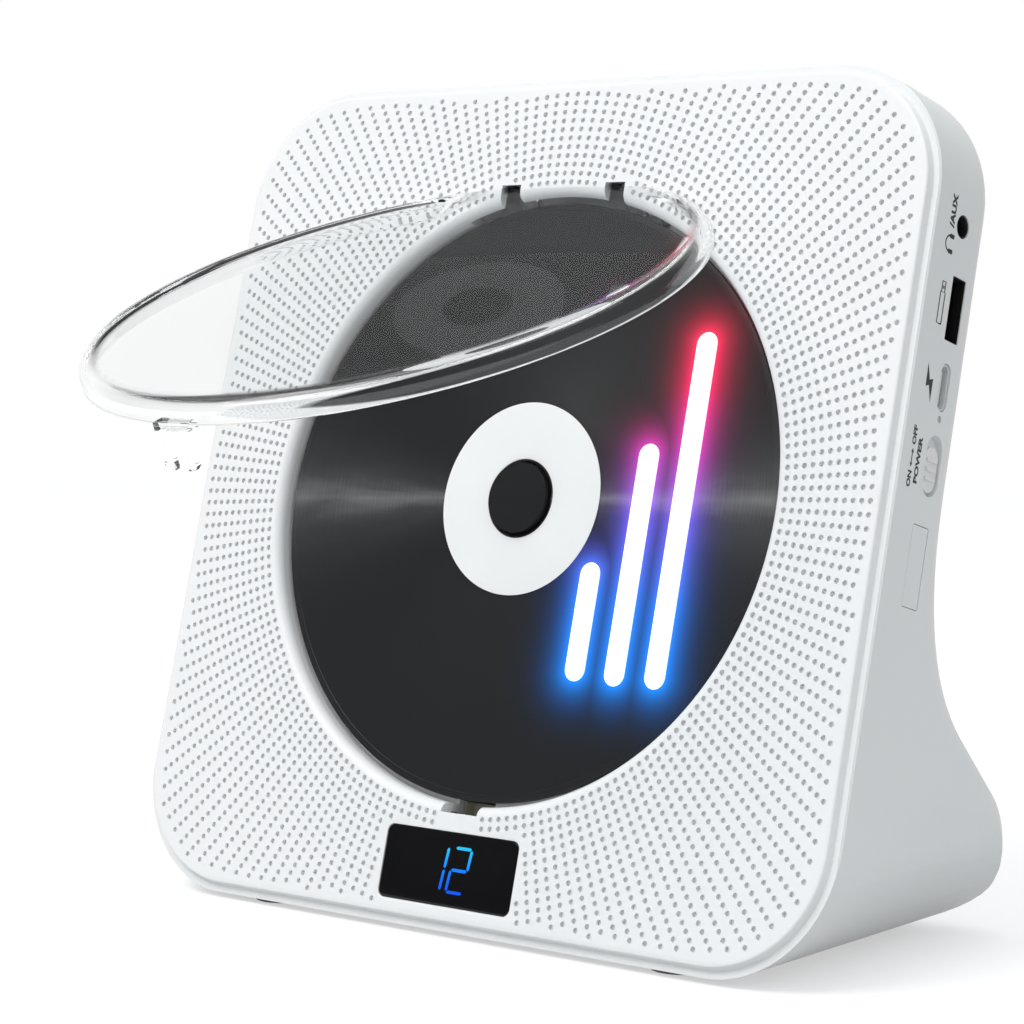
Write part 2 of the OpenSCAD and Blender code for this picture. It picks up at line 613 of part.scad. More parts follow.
// Disc and spindle
module disc() color("black") panel() difference() {
    post(disc_r, [disc_low, disc_top]);
    post(disc_hole_r, [disc_low - 1, 0]);
}
module spindle_hub() color("dimgray") panel() difference() {
    union() {
        post(table_r, [disc_low - table_t, disc_low]);
        post(hub_r, [disc_low - eps, hub_top]);
        post(3, [deck_top + 0.9, disc_low - table_t + eps]);
    }
    post(shaft_r + fit / 5, [deck_top, hub_top - 1.2]);
}
module spindle_shaft() color("silver") panel() post(shaft_r, [deck_low - 6.4, hub_top - 1.4]);
module spindle_motor() color("silver") panel() difference() {
    union() {
        post(motor_r, [deck_low - 7, deck_low]);
        post(3.5, [deck_low - eps, deck_top + 0.4]);
    }
    post(shaft_r + fit, [deck_low - 6.6, 0]);
}

// Drive deck
module mechanism_deck() color("dimgray") panel() difference() {
    translate([0, 0, deck_low]) linear_extrude(deck_t) round_box(deck_u, [-deck_v, deck_v], 6);
    block([-66, -13.5], [-15.6, 15.6], [-20, 0]);
    post(3.8, [-20, 0]);
    for (p = deck_posts) post(post_r + 0.5, [-20, 0], p);
    post(idler_pin_r + fit, [-20, 0], [idler_u, idler_v]);
    for (s = [-1, 1]) rod_u(rod_r + fit / 5, [rod_ends[0] - eps, rod_ends[1] + eps], s * rod_v, rod_w);
}
module deck_dampers() color("black") panel() for (p = deck_posts) difference() {
    post(4.4, [deck_top, floor_low], p);
    post(post_r + 0.1, [-20, 0], p);
}
module deck_screws() color("silver") panel() for (p = deck_posts) difference() {
    union() {
        post(4, [deck_low - 1.6, deck_low - 0.2], p);
        post(1, [deck_low - 0.3, floor_low], p);
    }
    translate([p[0], p[1], 0]) cross_cut(1.6, deck_low - 1.7, 0.7);
}
module guide_rods() color("silver") panel() for (s = [-1, 1]) rod_u(rod_r, rod_ends, s * rod_v, rod_w);
module rod_clips() color("black") panel() difference() {
    for (u = [rod_ends[0], rod_ends[1] - 1.8], s = [-1, 1]) block([u, u + 2], [s * rod_v - 2.2, s * rod_v + 2.2], [rod_w - rod_r - 0.6, deck_low]);
    for (s = [-1, 1]) rod_u(rod_r + fit / 5, [-80, 0], s * rod_v, rod_w);
}
module pickup_sled() color("dimgray") panel() translate([pickup_rest, 0, 0]) {
    difference() {
        block([-pickup_half, pickup_half], [-rod_v - 2, rod_v + 2], [pickup_low, floor_low - 0.7]);
        rod_u(rod_r + fit, [-20, 20], -rod_v, rod_w);
        block([-20, 20], [rod_v - rod_r - gap, rod_v + 3], [rod_w - rod_r - gap, rod_w + rod_r + gap]);
        post(lens_r + 0.1, [pickup_low + 2, 0]);
    }
    rack_bar();
    block([-3, 3], [rack_pitch_v + 1.1 * tooth_m, -rod_v - 1.9], [rack_top - rack_t, rack_top]);
}
// Straight rack beside the pickup, in mesh with the idler's small gear at rest
rack_step = PI * tooth_m;
rack_from = idler_u - pickup_rest - 3 * rack_step;
module rack_bar() {
    root_v = rack_pitch_v + 1.1 * tooth_m;
    block([rack_from - 1, rack_from + rack_teeth * rack_step], [root_v, root_v + 1.8], [rack_top - rack_t, rack_top]);
    translate([0, 0, rack_top - rack_t]) linear_extrude(rack_t) for (i = [0:rack_teeth - 1])
        translate([rack_from + (i + 0.5) * rack_step, rack_pitch_v])
            polygon([[-0.4 * rack_step, 1.15 * tooth_m], [-0.2 * rack_step, 0], [-0.09 * rack_step, -0.8 * tooth_m],
                [0.09 * rack_step, -0.8 * tooth_m], [0.2 * rack_step, 0], [0.4 * rack_step, 1.15 * tooth_m]]);
}
module pickup_lens() color("lightblue") panel() translate([pickup_rest, 0, 0]) {
    post(lens_r, [pickup_low + 2, floor_top - 0.7]);
    post(2, [floor_top - 0.8, floor_top + 0.1]);
}
module gear_shape(teeth, turn) {
    pitch_r = teeth * tooth_m / 2;
    root_r = pitch_r - 1.1 * tooth_m;
    tip_r = pitch_r + 0.85 * tooth_m;
    step = 360 / teeth;
    rotate(turn) polygon([for (i = [0:teeth - 1], k = [[-0.3, root_r], [-0.19, pitch_r], [-0.07, tip_r],
        [0.07, tip_r], [0.19, pitch_r], [0.3, root_r]]) k[1] * [cos((i + k[0]) * step), sin((i + k[0]) * step)]]);
}
module idler_gear() color("ivory") panel() translate([idler_u, idler_v, 0]) difference() {
    union() {
        translate([0, 0, large_top - gear_t]) linear_extrude(gear_t) gear_shape(large_teeth, 0);
        translate([0, 0, large_top - eps]) linear_extrude(rack_top - large_top) gear_shape(small_teeth, 90);
    }
    post(idler_pin_r + fit, [-30, 0]);
}
module idler_pin() color("silver") panel() {
    post(idler_pin_r, [large_top - gear_t - 0.3, deck_top], [idler_u, idler_v]);
    post(1.6, [large_top - gear_t - 0.9, large_top - gear_t - 0.3], [idler_u, idler_v]);
}
// The large gear's teeth stand at whole steps from 0, so the pinion shows it a gap
pinion_turn = 180 + pinion_dir + (pinion_dir / (360 / large_teeth)) * (360 / pinion_teeth) + 180 / pinion_teeth;
module motor_pinion() color("goldenrod") panel() translate([pinion_u, pinion_v, 0]) difference() {
    union() {
        translate([0, 0, large_top - gear_t]) linear_extrude(gear_t) gear_shape(pinion_teeth, pinion_turn);
        post(1.2, [large_top - 0.1, large_top + 0.4]);
    }
    post(0.6, [-30, 0]);
}
module sled_motor() color("silver") panel() translate([pinion_u, pinion_v, 0]) {
    post(5, [pickup_low, deck_low]);
    post(0.55, [large_top - gear_t + 0.1, pickup_low + eps]);
}

// Lid and its hinge
module lid_half_section() difference() {
    union() {
        translate([0, -rim_sink]) square([lid_r, rim_sink + lid_rise - lid_edge]);
        translate([0, lid_rise - lid_edge - eps]) square([lid_r - lid_edge, lid_edge]);
        translate([lid_r - lid_edge, lid_rise - lid_edge]) circle(lid_edge);
        polygon(concat([[0, 0], [lid_r - lid_edge, 0]], crown_line(0)));
    }
    translate([-1, -rim_sink - 5]) square([lid_r + 5, 5]);
    translate([-1, -rim_sink - 1]) square([lid_r - lid_t + 1, rim_sink + 1 + lid_rise - lid_edge]);
    translate([-1, -1]) square([lid_r - lid_edge + 1, lid_rise - lid_t + 1]);
    translate([lid_r - lid_edge, lid_rise - lid_edge]) circle(lid_edge - lid_t);
    polygon(concat([[0, 0], [lid_r - lid_edge, 0]], crown_line(lid_t)));
    translate([-10, -10]) square([10, 30]);
}
// The crown is a shallow arch that starts level with the rounded edge
function crown_line(d) = [for (i = [0:8]) let (t = i / 8) [(lid_r - lid_edge) * (1 - t), lid_rise - d + crown * (1 - pow(1 - t, 2))]];
// One hinge arm, closed: from the barrel under the disc, round the disc's edge and up to the lid's skin
module arm_shape() {
    translate([hinge_v, hinge_w]) circle(barrel_r);
    translate([hinge_v, arm_low]) square([arm_out - hinge_v, arm_drop]);
    translate([arm_in, arm_low]) square([arm_out - arm_in, arm_edge[1] - arm_low]);
    intersection() {
        difference() {
            translate(arm_edge) circle(lid_edge);
            translate(arm_edge) circle(lid_edge - 1.6);
        }
        translate(arm_edge) square(lid_edge + 1);
    }
    translate([arm_edge[0] - 6, lid_rise - 1.6]) square([6, 1.6]);
}
module lid() color("lightcyan", 0.35) on_lid() {
    difference() {
        rotate_extrude($fn = 128) lid_half_section();
        // the edge beside the hinge is cut level with the panel when the lid stands open
        translate([0, hinge_v, hinge_w]) rotate([lid_open, 0, 0]) translate([0, -hinge_v, -hinge_w])
            block([-50, 50], [0, 90], [-40, lid_lift]);
        translate([0, 12.5 - lid_r, lid_rise + 23.4]) sphere(r = 24);
    }
    for (s = [-1, 1]) {
        difference() {
            along_u(s > 0 ? arm_u[0] : -arm_u[1], s > 0 ? arm_u[1] : -arm_u[0]) arm_shape();
            rod_u(pin_r + fit, [-30, 30], hinge_v, hinge_w);
        }
        block([s * prong_u - prong_w / 2, s * prong_u + prong_w / 2], [prong_v - prong_t / 2, prong_v + prong_t / 2],
            [prong_end, -rim_sink + 1.4]);
        translate([s * (prong_u + prong_w / 2), 0, 0]) block(s > 0 ? [-eps, hook] : [-hook, eps],
            [prong_v - prong_t / 2, prong_v + prong_t / 2], [prong_end, prong_end + 1.4]);
    }
    difference() {
        block([-prong_u - 1.7, prong_u + 1.7], [prong_v - prong_t / 2, -lid_r + 1], [-rim_sink, -rim_sink + 1.5]);
        post(lid_r - 1, [-10, 10]);
    }
}
module hinge_bracket() color("dimgray") panel() {
    difference() {
        union() {
            block([-pocket_u - pocket_wall, pocket_u + pocket_wall], [pocket_v[0] - pocket_wall, pocket_v[1]],
                [pocket_low - pocket_wall, floor_low]);
            block([-pocket_u - pocket_wall, pocket_u + pocket_wall], [58, pocket_v[1]], [floor_low - eps, -panel_t]);
        }
        block([-pocket_u, pocket_u], [pocket_v[0], pocket_v[1] - pocket_wall], [pocket_low, 0]);
    }
    for (s = [-1, 1], u = [9.9, 16]) difference() {
        along_u(s * u - 0.7, s * u + 0.7) {
            translate([hinge_v, hinge_w]) circle(barrel_r);
            translate([hinge_v - barrel_r, pocket_low - eps]) square([2 * barrel_r, hinge_w - pocket_low]);
        }
        rod_u(pin_r + fit / 5, [-30, 30], hinge_v, hinge_w);
    }
}
module hinge_pin() color("silver") panel() rod_u(pin_r, [-coil_u[1] - 1, coil_u[1] + 1], hinge_v, hinge_w);
module lid_springs() color("silver") panel() for (s = [-1, 1]) {
    difference() {
        rod_u(barrel_r - 0.1, s > 0 ? coil_u : [-coil_u[1], -coil_u[0]], hinge_v, hinge_w);
        rod_u(pin_r + 0.1, [-30, 30], hinge_v, hinge_w);
    }
    block([s * 21.5 - 0.3, s * 21.5 + 0.3], [hinge_v + 0.7, hinge_v + 1.2], [pocket_low, hinge_w]);
}

// Latch at the bottom of the well
module latch_housing() color("dimgray") panel() difference() {
    block([-latch_half, latch_half], latch_v, [latch_end, floor_low]);
    block([-latch_half + 1.4, latch_half - 1.4], [latch_v[0] + 1.4, latch_v[1] - 1.4], [latch_end + 1.2, 0]);
}
module latch_plunger() color("ivory") panel() difference() {
    block([-latch_half + 1.7, latch_half - 1.7], [latch_v[0] + 1.7, latch_v[1] - 1.7], [plunger_top - 1.6, floor_low - 0.3]);
    block([-prong_u - prong_w / 2 - hook - 0.4, prong_u + prong_w / 2 + hook + 0.4], [latch_v[0] - 1, latch_v[1] + 1], [plunger_top, 0]);
}
module latch_spring() color("silver") panel() difference() {
    post(1.5, [latch_end + 1.2, plunger_top - 1.6 - latch_travel - 0.3], [0, (latch_v[0] + latch_v[1]) / 2]);
    post(1, [-30, 0], [0, (latch_v[0] + latch_v[1]) / 2]);
}

front_panel();
rear_housing();
disc_well();
display_window();
display_module();
display_board();
ir_receiver();
main_board();
jack_socket();
data_port_shell();
data_port_tongue();
charge_port_shell();
charge_port_tongue();
charge_light();
switch_body();
side_blank();
battery_cells();
battery_cradle();
battery_door();
door_screws();
case_screws();
rubber_feet();
speaker_frame(-1);  // speaker_frame_left
speaker_frame(1);  // speaker_frame_right
speaker_cone(-1);  // speaker_cone_left
speaker_cone(1);  // speaker_cone_right
speaker_magnet(-1);  // speaker_magnet_left
speaker_magnet(1);  // speaker_magnet_right
key_board();
key_switches();
mechanism_deck();
deck_dampers();
deck_screws();
spindle_motor();
guide_rods();
rod_clips();
sled_motor();
idler_pin();
hinge_bracket();
hinge_pin();
lid_springs();
latch_housing();
latch_spring();
lid();
latch_plunger();
spindle_hub();
spindle_shaft();
disc();
power_slider();
key(0);  // key_mode
key(1);  // key_back
key(2);  // key_play
key(3);  // key_forward
key(4);  // key_stop
pickup_sled();
pickup_lens();
idler_gear();
motor_pinion();
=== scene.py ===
# Disc player: the finished looks of its pieces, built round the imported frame.
# Panel frame in mm: u to the right, v up the front panel, w out of it, from the middle of the disc.
import json
import math
import bpy
import bmesh
from mathutils import Matrix, Vector

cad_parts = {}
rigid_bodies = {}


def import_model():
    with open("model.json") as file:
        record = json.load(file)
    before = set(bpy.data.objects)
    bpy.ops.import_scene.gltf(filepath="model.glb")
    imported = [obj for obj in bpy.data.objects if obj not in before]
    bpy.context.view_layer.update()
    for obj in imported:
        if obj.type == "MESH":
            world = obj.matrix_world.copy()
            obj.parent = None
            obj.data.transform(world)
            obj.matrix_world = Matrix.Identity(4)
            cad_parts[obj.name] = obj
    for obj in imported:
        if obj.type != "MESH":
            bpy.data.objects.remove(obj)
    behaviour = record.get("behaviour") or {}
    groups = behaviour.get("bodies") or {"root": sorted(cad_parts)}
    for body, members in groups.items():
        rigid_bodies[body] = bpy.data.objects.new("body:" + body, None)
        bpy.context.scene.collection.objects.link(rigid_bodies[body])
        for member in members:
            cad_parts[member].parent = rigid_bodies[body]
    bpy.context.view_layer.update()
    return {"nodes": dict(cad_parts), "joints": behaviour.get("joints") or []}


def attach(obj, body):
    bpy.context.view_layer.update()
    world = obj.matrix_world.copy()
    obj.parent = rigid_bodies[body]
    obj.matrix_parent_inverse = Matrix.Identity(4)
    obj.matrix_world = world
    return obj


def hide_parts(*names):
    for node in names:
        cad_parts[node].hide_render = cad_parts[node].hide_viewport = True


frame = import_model()
nodes = frame["nodes"]

# Sizes that the pieces share with the frame, in mm
LEAN = math.radians(15)
PANEL_HALF = 84.0
PANEL_CORNER = 24.0
RIM_HALF = 85.5
PANEL_STEP = 1.5
PANEL_THICK = 2.0
TONGUE_HALF = 83.1
NECK_DEPTH = 21.0
WALL = 2.2
SWEEP_START = 8.7
SWEEP_RADIUS = 50.0
FOOT_BACK = 51.5
WELL_RADIUS = 61.0
LIP_RADIUS = 2.0
ARM_SLOT = (10.6, 15.4)
PRONG_SLOT = (4.5, -62.8)
NOTCH_TOP = 63.2
NOTCH_LOW = 64.63
DISC_RADIUS = 60.0
DISC_TOP = -3.0
DISC_THICK = 1.2
DISC_HOLE = 7.5
HUB_RADIUS = 7.0
HUB_TOP = -1.7
LID_RADIUS = 60.0
LID_THICK = 1.6
LID_EDGE = 3.1
LID_RISE = 2.4
LID_CROWN = 1.2
RIM_SINK = 2.3
LID_OPEN = math.radians(54.9)
HINGE_V = 56.5
HINGE_W = -6.3
WINDOW = (-17.0, 16.0, -80.8, -66.4)

hinge_joint = [j for j in frame["joints"] if j["name"] == "lid_hinge"][0]
hinge_at = Vector(hinge_joint["pos_m"]) * 1000
U_WAY = Vector((1, 0, 0))
V_WAY = Vector((0, math.sin(LEAN), math.cos(LEAN)))
W_WAY = Vector((0, -math.cos(LEAN), math.sin(LEAN)))
MIDDLE = hinge_at - V_WAY * HINGE_V - W_WAY * HINGE_W
PANEL = Matrix.Scale(0.001, 4) @ Matrix.Translation(MIDDLE) @ Matrix((U_WAY, V_WAY, W_WAY)).transposed().to_4x4()
HINGE = Matrix.Translation((0, HINGE_V, HINGE_W))
OPEN_LID = HINGE @ Matrix.Rotation(-LID_OPEN, 4, "X") @ HINGE.inverted()
COLLECTION = bpy.context.scene.collection


# ---------------------------------------------------------------- finishes
class Shading:
    """A shader node tree, emptied, with helpers that add nodes and join them."""

    def __init__(self, owner, output):
        owner.use_nodes = True
        self.tree = owner.node_tree
        self.tree.nodes.clear()
        self.out = self.add(output)

    def add(self, kind, **values):
        node = self.tree.nodes.new(kind)
        for key, value in values.items():
            setattr(node, key, value)
        return node

    def set(self, node, **values):
        for key, value in values.items():
            node.inputs[key].default_value = value
        return node

    def link(self, a, b):
        self.tree.links.new(a, b)

    def math(self, operation, *terms):
        node = self.add("ShaderNodeMath", operation=operation)
        for i, term in enumerate(terms):
            if isinstance(term, (int, float)):
                node.inputs[i].default_value = term
            else:
                self.link(term, node.inputs[i])
        return node.outputs[0]

    def length(self, x, y):
        return self.math("SQRT", self.math("ADD", self.math("MULTIPLY", x, x), self.math("MULTIPLY", y, y)))

    def blended(self, factor, first, second):
        node = self.add("ShaderNodeMixShader")
        for i, end in enumerate((factor, first, second)):
            self.link(end, node.inputs[i])
        return node.outputs[0]

    def smooth_step(self, value, start, end, low=0.0, high=1.0):
        node = self.add("ShaderNodeMapRange", interpolation_type="SMOOTHSTEP")
        self.set(node, **{"From Min": start, "From Max": end, "To Min": low, "To Max": high})
        self.link(value, node.inputs[0])
        return node.outputs[0]


class Finish(Shading):
    """A node material: a Principled shader with helpers that add its pattern."""

    def __init__(self, name, colour=(0.8, 0.8, 0.8), rough=0.4, metal=0.0, **sockets):
        self.material = bpy.data.materials.new(name)
        super().__init__(self.material, "ShaderNodeOutputMaterial")
        self.shader = self.add("ShaderNodeBsdfPrincipled")
        self.link(self.shader.outputs[0], self.out.inputs["Surface"])
        self.set(self.shader, **{"Base Color": (*colour, 1), "Roughness": rough, "Metallic": metal})
        self.set(self.shader, **{k.replace("_", " "): v for k, v in sockets.items()})
        self.place = self.add("ShaderNodeTexCoord").outputs["Object"]

    def panel_place(self):
        """Object coordinates turned into the panel frame, in mm."""
        node = self.add("ShaderNodeMapping", vector_type="TEXTURE")
        self.link(self.place, node.inputs["Vector"])
        self.set(node, Location=MIDDLE * 0.001, Rotation=(math.pi / 2 - LEAN, 0, 0), Scale=(0.001, 0.001, 0.001))
        return node.outputs[0]

    def panel_parts(self):
        """The same, as separate u, v and w."""
        node = self.add("ShaderNodeSeparateXYZ")
        self.link(self.panel_place(), node.inputs[0])
        return node.outputs

    def noise(self, scale, detail=2.0, vector=None, rough=0.5):
        node = self.add("ShaderNodeTexNoise")
        self.set(node, Scale=scale, Detail=detail, Roughness=rough)
        self.link(vector or self.place, node.inputs["Vector"])
        return node.outputs[0]

    def ramp(self, value, stops):
        node = self.add("ShaderNodeValToRGB")
        band = node.color_ramp
        while len(band.elements) < len(stops):
            band.elements.new(0.5)
        for element, (place, colour) in zip(band.elements, stops):
            element.position = place
            element.color = (*colour, 1)
        self.link(value, node.inputs[0])
        return node.outputs[0]

    def bump(self, height, strength, distance=0.0001):
        node = self.add("ShaderNodeBump")
        self.set(node, Strength=strength, Distance=distance)
        self.link(height, node.inputs["Height"])
        self.link(node.outputs[0], self.shader.inputs["Normal"])

    def shades(self, value, low, high, spread=(0.3, 0.7)):
        self.link(self.ramp(value, [(spread[0], low), (spread[1], high)]), self.shader.inputs["Base Color"])


def tint(colour, k):
    return tuple(min(1.0, c * k) for c in colour)


def moulded(name, colour, rough=0.42, grain=2600.0, depth=0.12, spread=0.025, **sockets):
    """Moulded plastic: a spark-eroded grain in the bump and a slow, faint change of shade."""
    f = Finish(name, colour, rough, **sockets)
    f.shades(f.noise(22.0, 3.0), tint(colour, 1 - spread), tint(colour, 1 + spread))
    f.bump(f.noise(grain, 3.0), depth, 0.00008)
    return f.material


def rolled(name, colour, rough=0.3, metal=1.0, depth=0.15):
    """Bare metal with drawn streaks along one way."""
    f = Finish(name, colour, rough, metal)
    stretch = f.add("ShaderNodeMapping")
    f.link(f.place, stretch.inputs["Vector"])
    f.set(stretch, Scale=(150, 3800, 3800))
    streaks = f.noise(1.0, 4.0, stretch.outputs[0])
    f.shades(streaks, tint(colour, 0.82), tint(colour, 1.1))
    f.bump(streaks, depth, 0.00005)
    return f.material


def circuit_board():
    f = Finish("board_green", (0.02, 0.16, 0.07), 0.35)
    cells = f.add("ShaderNodeTexVoronoi", distance="MANHATTAN", feature="DISTANCE_TO_EDGE")
    f.set(cells, Scale=420.0)
    f.link(f.place, cells.inputs["Vector"])
    f.shades(cells.outputs["Distance"], (0.06, 0.26, 0.11), (0.012, 0.12, 0.05), (0.02, 0.06))
    f.bump(cells.outputs["Distance"], 0.3, 0.0001)
    return f.material


def cell_sleeve():
    """Shrink sleeve of a battery cell: blue film with a fine wrinkle and a paler band."""
    f = Finish("cell_sleeve_blue", (0.03, 0.16, 0.45), 0.25)
    split = f.add("ShaderNodeSeparateXYZ")
    f.link(f.place, split.inputs[0])
    band = f.math("ABSOLUTE", split.outputs[0])
    f.shades(band, (0.03, 0.16, 0.45), (0.35, 0.42, 0.5), (0.029, 0.030))
    f.bump(f.noise(900.0, 3.0), 0.2, 0.0001)
    return f.material


def cone_paper():
    f = Finish("cone_paper", (0.03, 0.03, 0.032), 0.75)
    f.shades(f.noise(1500.0, 5.0), (0.02, 0.02, 0.022), (0.06, 0.06, 0.062))
    f.bump(f.noise(2200.0, 4.0), 0.5, 0.0002)
    return f.material


SHELL = (0.83, 0.835, 0.84)
shell_white = moulded("shell_white", SHELL, 0.34, 2400.0, 0.05, 0.008, Specular_IOR_Level=0.4)
well_white = moulded("well_white", (0.78, 0.785, 0.79), 0.4, 2400.0, 0.06, 0.01)
side_white = moulded("side_white", (0.79, 0.8, 0.8), 0.45, 2400.0, 0.06, 0.01)
key_white = moulded("key_white", (0.8, 0.8, 0.8), 0.32, 3000.0, 0.05, 0.01)
# grey floor of each grille hole: the cloth behind the panel, made darker than its own tone as painted shade of the
# hole's depth
hole_cloth_and_shade_grey = moulded("grille_cloth_and_shade_grey", (0.27, 0.27, 0.285), 0.7, 5000.0, 0.4, 0.12)
black_gloss = Finish("window_black", (0.004, 0.004, 0.005), 0.08, Specular_IOR_Level=0.3)
black_gloss.shades(black_gloss.noise(40.0, 2.0), (0.004, 0.004, 0.005), (0.007, 0.007, 0.008))
black_plastic = moulded("plastic_black", (0.014, 0.014, 0.015), 0.4, 2600.0, 0.2, 0.15, Specular_IOR_Level=0.25)
port_dark = rolled("port_dark_metal", (0.1, 0.1, 0.105), 0.4)
grey_plastic = moulded("plastic_grey", (0.13, 0.13, 0.135), 0.5, 2400.0, 0.2, 0.08)
ivory_plastic = moulded("plastic_ivory", (0.68, 0.64, 0.52), 0.4, 2400.0, 0.12, 0.04)
dark_rubber = moulded("rubber_black", (0.02, 0.02, 0.02), 0.8, 1600.0, 0.5, 0.2)
grey_rubber = moulded("rubber_grey", (0.2, 0.2, 0.2), 0.8, 1500.0, 0.5, 0.12)
steel = rolled("steel_drawn", (0.56, 0.57, 0.58), 0.3)
bright_metal = rolled("metal_bright", (0.75, 0.75, 0.74), 0.22)
brass = rolled("brass_turned", (0.72, 0.52, 0.24), 0.3)
magnet_grey = rolled("magnet_grey", (0.2, 0.2, 0.21), 0.45)
board_green = circuit_board()
sleeve_blue = cell_sleeve()
paper_cone = cone_paper()
pickup_glass = Finish("pickup_glass", (0.25, 0.4, 0.6), 0.05, Coat_Weight=0.5)
pickup_glass.shades(pickup_glass.noise(300.0, 1.0), (0.18, 0.3, 0.5), (0.3, 0.46, 0.66))
light_pipe = Finish("light_pipe_milky", (0.75, 0.75, 0.72), 0.25, Transmission_Weight=0.3)
light_pipe.shades(light_pipe.noise(900.0, 1.0), (0.7, 0.7, 0.67), (0.8, 0.8, 0.78))
port_grey = moulded("port_grey", (0.72, 0.73, 0.735), 0.35, 2600.0, 0.08, 0.03)
mark_black = moulded("mark_black", (0.02, 0.02, 0.022), 0.5, 4000.0, 0.1, 0.2)

NODE_FINISH = (
    (side_white, "rear_housing side_blank battery_door"), (shell_white, "front_panel"),
    (well_white, "disc_well hinge_bracket"),
    (black_gloss.material, "display_window"), (board_green, "display_board main_board key_board"),
    (black_plastic, "ir_receiver jack_socket data_port_tongue switch_body speaker_frame_left speaker_frame_right "
                    "key_switches rod_clips spindle_hub"),
    (grey_plastic, "display_module battery_cradle mechanism_deck latch_housing pickup_sled"),
    (port_dark, "data_port_shell"), (port_grey, "charge_port_shell charge_port_tongue"),
    (light_pipe.material, "charge_light"),
    (sleeve_blue, "battery_cells"), (grey_rubber, "rubber_feet"), (dark_rubber, "deck_dampers"),
    (steel, "door_screws case_screws deck_screws guide_rods idler_pin hinge_pin lid_springs latch_spring "
            "spindle_shaft"),
    (paper_cone, "speaker_cone_left speaker_cone_right"), (magnet_grey, "speaker_magnet_left speaker_magnet_right"),
    (bright_metal, "spindle_motor sled_motor"), (ivory_plastic, "latch_plunger idler_gear"), (brass, "motor_pinion"),
    (key_white, "power_slider key_mode key_back key_play key_forward key_stop"), (pickup_glass.material, "pickup_lens"),
)
for finish, names in NODE_FINISH:
    for name in names.split():
        solid = nodes[name]
        if not solid.data.materials:
            solid.data.materials.append(finish)
        for material_slot in solid.material_slots:
            material_slot.material = finish


# ---------------------------------------------------------------- making and placing pieces
def piece(name, mesh_or_bm, body, slot, *finishes, place=PANEL, smooth=30.0, replaces=()):
    """Makes a finished piece from a mesh in mm, puts its place in the mesh and hands it to its body."""
    if isinstance(mesh_or_bm, bmesh.types.BMesh):
        mesh = bpy.data.meshes.new(name)
        mesh_or_bm.to_mesh(mesh)
        mesh_or_bm.free()
    else:
        mesh = mesh_or_bm
    mesh.name = name
    mesh.transform(place)
    if finishes:
        mesh.materials.clear()
    for finish in finishes:
        mesh.materials.append(finish)
    if smooth:
        mesh.polygons.foreach_set("use_smooth", [True] * len(mesh.polygons))
        mesh.set_sharp_from_angle(angle=math.radians(smooth))
    obj = bpy.data.objects.new(name, mesh)
    COLLECTION.objects.link(obj)
    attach(obj, body)
    if replaces:
        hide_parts(*replaces)


def loop(bm, points):
    return [bm.verts.new(p) for p in points]


def bridge(bm, a, b, closed=True):
    """Quads between two equal rows of vertices."""
    n = len(a)
    for i in range(n if closed else n - 1):
        j = (i + 1) % n
        if a[i] is b[i] and a[j] is b[j]:
            continue
        ring = [a[i], a[j], b[j], b[i]]
        ring = [v for k, v in enumerate(ring) if v is not ring[k - 1]]
        if len(ring) > 2:
            bm.faces.new(ring)


def arc(cx, cy, r, start, end, steps):
    """Points (x, y) on an arc, in degrees."""
    return [(cx + r * math.cos(math.radians(start + (end - start) * i / steps)),
             cy + r * math.sin(math.radians(start + (end - start) * i / steps))) for i in range(steps + 1)]


def rounded(half_x, half_y, r, steps=16, cx=0.0, cy=0.0):
    """Closed outline of a rounded rectangle, anticlockwise."""
    out = []
    for sx, sy, a in ((1, 1, 0), (-1, 1, 90), (-1, -1, 180), (1, -1, 270)):
        out += arc(cx + sx * (half_x - r), cy + sy * (half_y - r), r, a, a + 90, steps)
    return out


def outward(bm):
    """Turns every face of a closed solid outwards."""
    bmesh.ops.recalc_face_normals(bm, faces=bm.faces)
    if bm.calc_volume(signed=True) < 0:
        bmesh.ops.reverse_faces(bm, faces=bm.faces)
    return bm


def turn(profile, sides, closed_profile=True):
    """Turns a profile of (r, w) about the w axis into a mesh, with its poles closed."""
    bm = bmesh.new()
    rings = []
    for r, w in profile:
        if r < 1e-6:
            rings.append([bm.verts.new((0, 0, w))] * sides)
        else:
            rings.append([bm.verts.new((r * math.cos(t), r * math.sin(t), w))
                          for t in (2 * math.pi * i / sides for i in range(sides))])
    for i in range(len(rings) if closed_profile else len(rings) - 1):
        bridge(bm, rings[i], rings[(i + 1) % len(rings)])
    return outward(bm)


def prism(outline, low, high, bevel=0.0, steps=2):
    """A straight solid on a closed outline, with its upper edge rounded where a bevel is given."""
    bm = bmesh.new()
    base = loop(bm, [(x, y, low) for x, y in outline])
    top = loop(bm, [(x, y, high) for x, y in outline])
    bridge(bm, base, top)
    bm.faces.new(base[::-1])
    upper = bm.faces.new(top)
    outward(bm)
    if bevel:
        bmesh.ops.bevel(bm, geom=list(upper.edges), offset=bevel, segments=steps, profile=0.5, affect="EDGES",
                        clamp_overlap=True)
    return bm


def box_bm(u, v, w):
    """A box between two places on each axis."""
    bm = bmesh.new()
    bmesh.ops.create_cube(bm, size=1.0)
    for vert in bm.verts:
        vert.co = Vector((u[0] + (u[1] - u[0]) * (vert.co.x + 0.5), v[0] + (v[1] - v[0]) * (vert.co.y + 0.5),
                          w[0] + (w[1] - w[0]) * (vert.co.z + 0.5)))
    return bm


def evaluated_mesh(obj):
    bpy.context.view_layer.update()
    return bpy.data.meshes.new_from_object(obj.evaluated_get(bpy.context.evaluated_depsgraph_get()))


def joined(*parts):
    out = bmesh.new()
    for part in parts:
        mesh = bpy.data.meshes.new("part")
        part.to_mesh(mesh)
        part.free()
        out.from_mesh(mesh)
        bpy.data.meshes.remove(mesh)
    return out


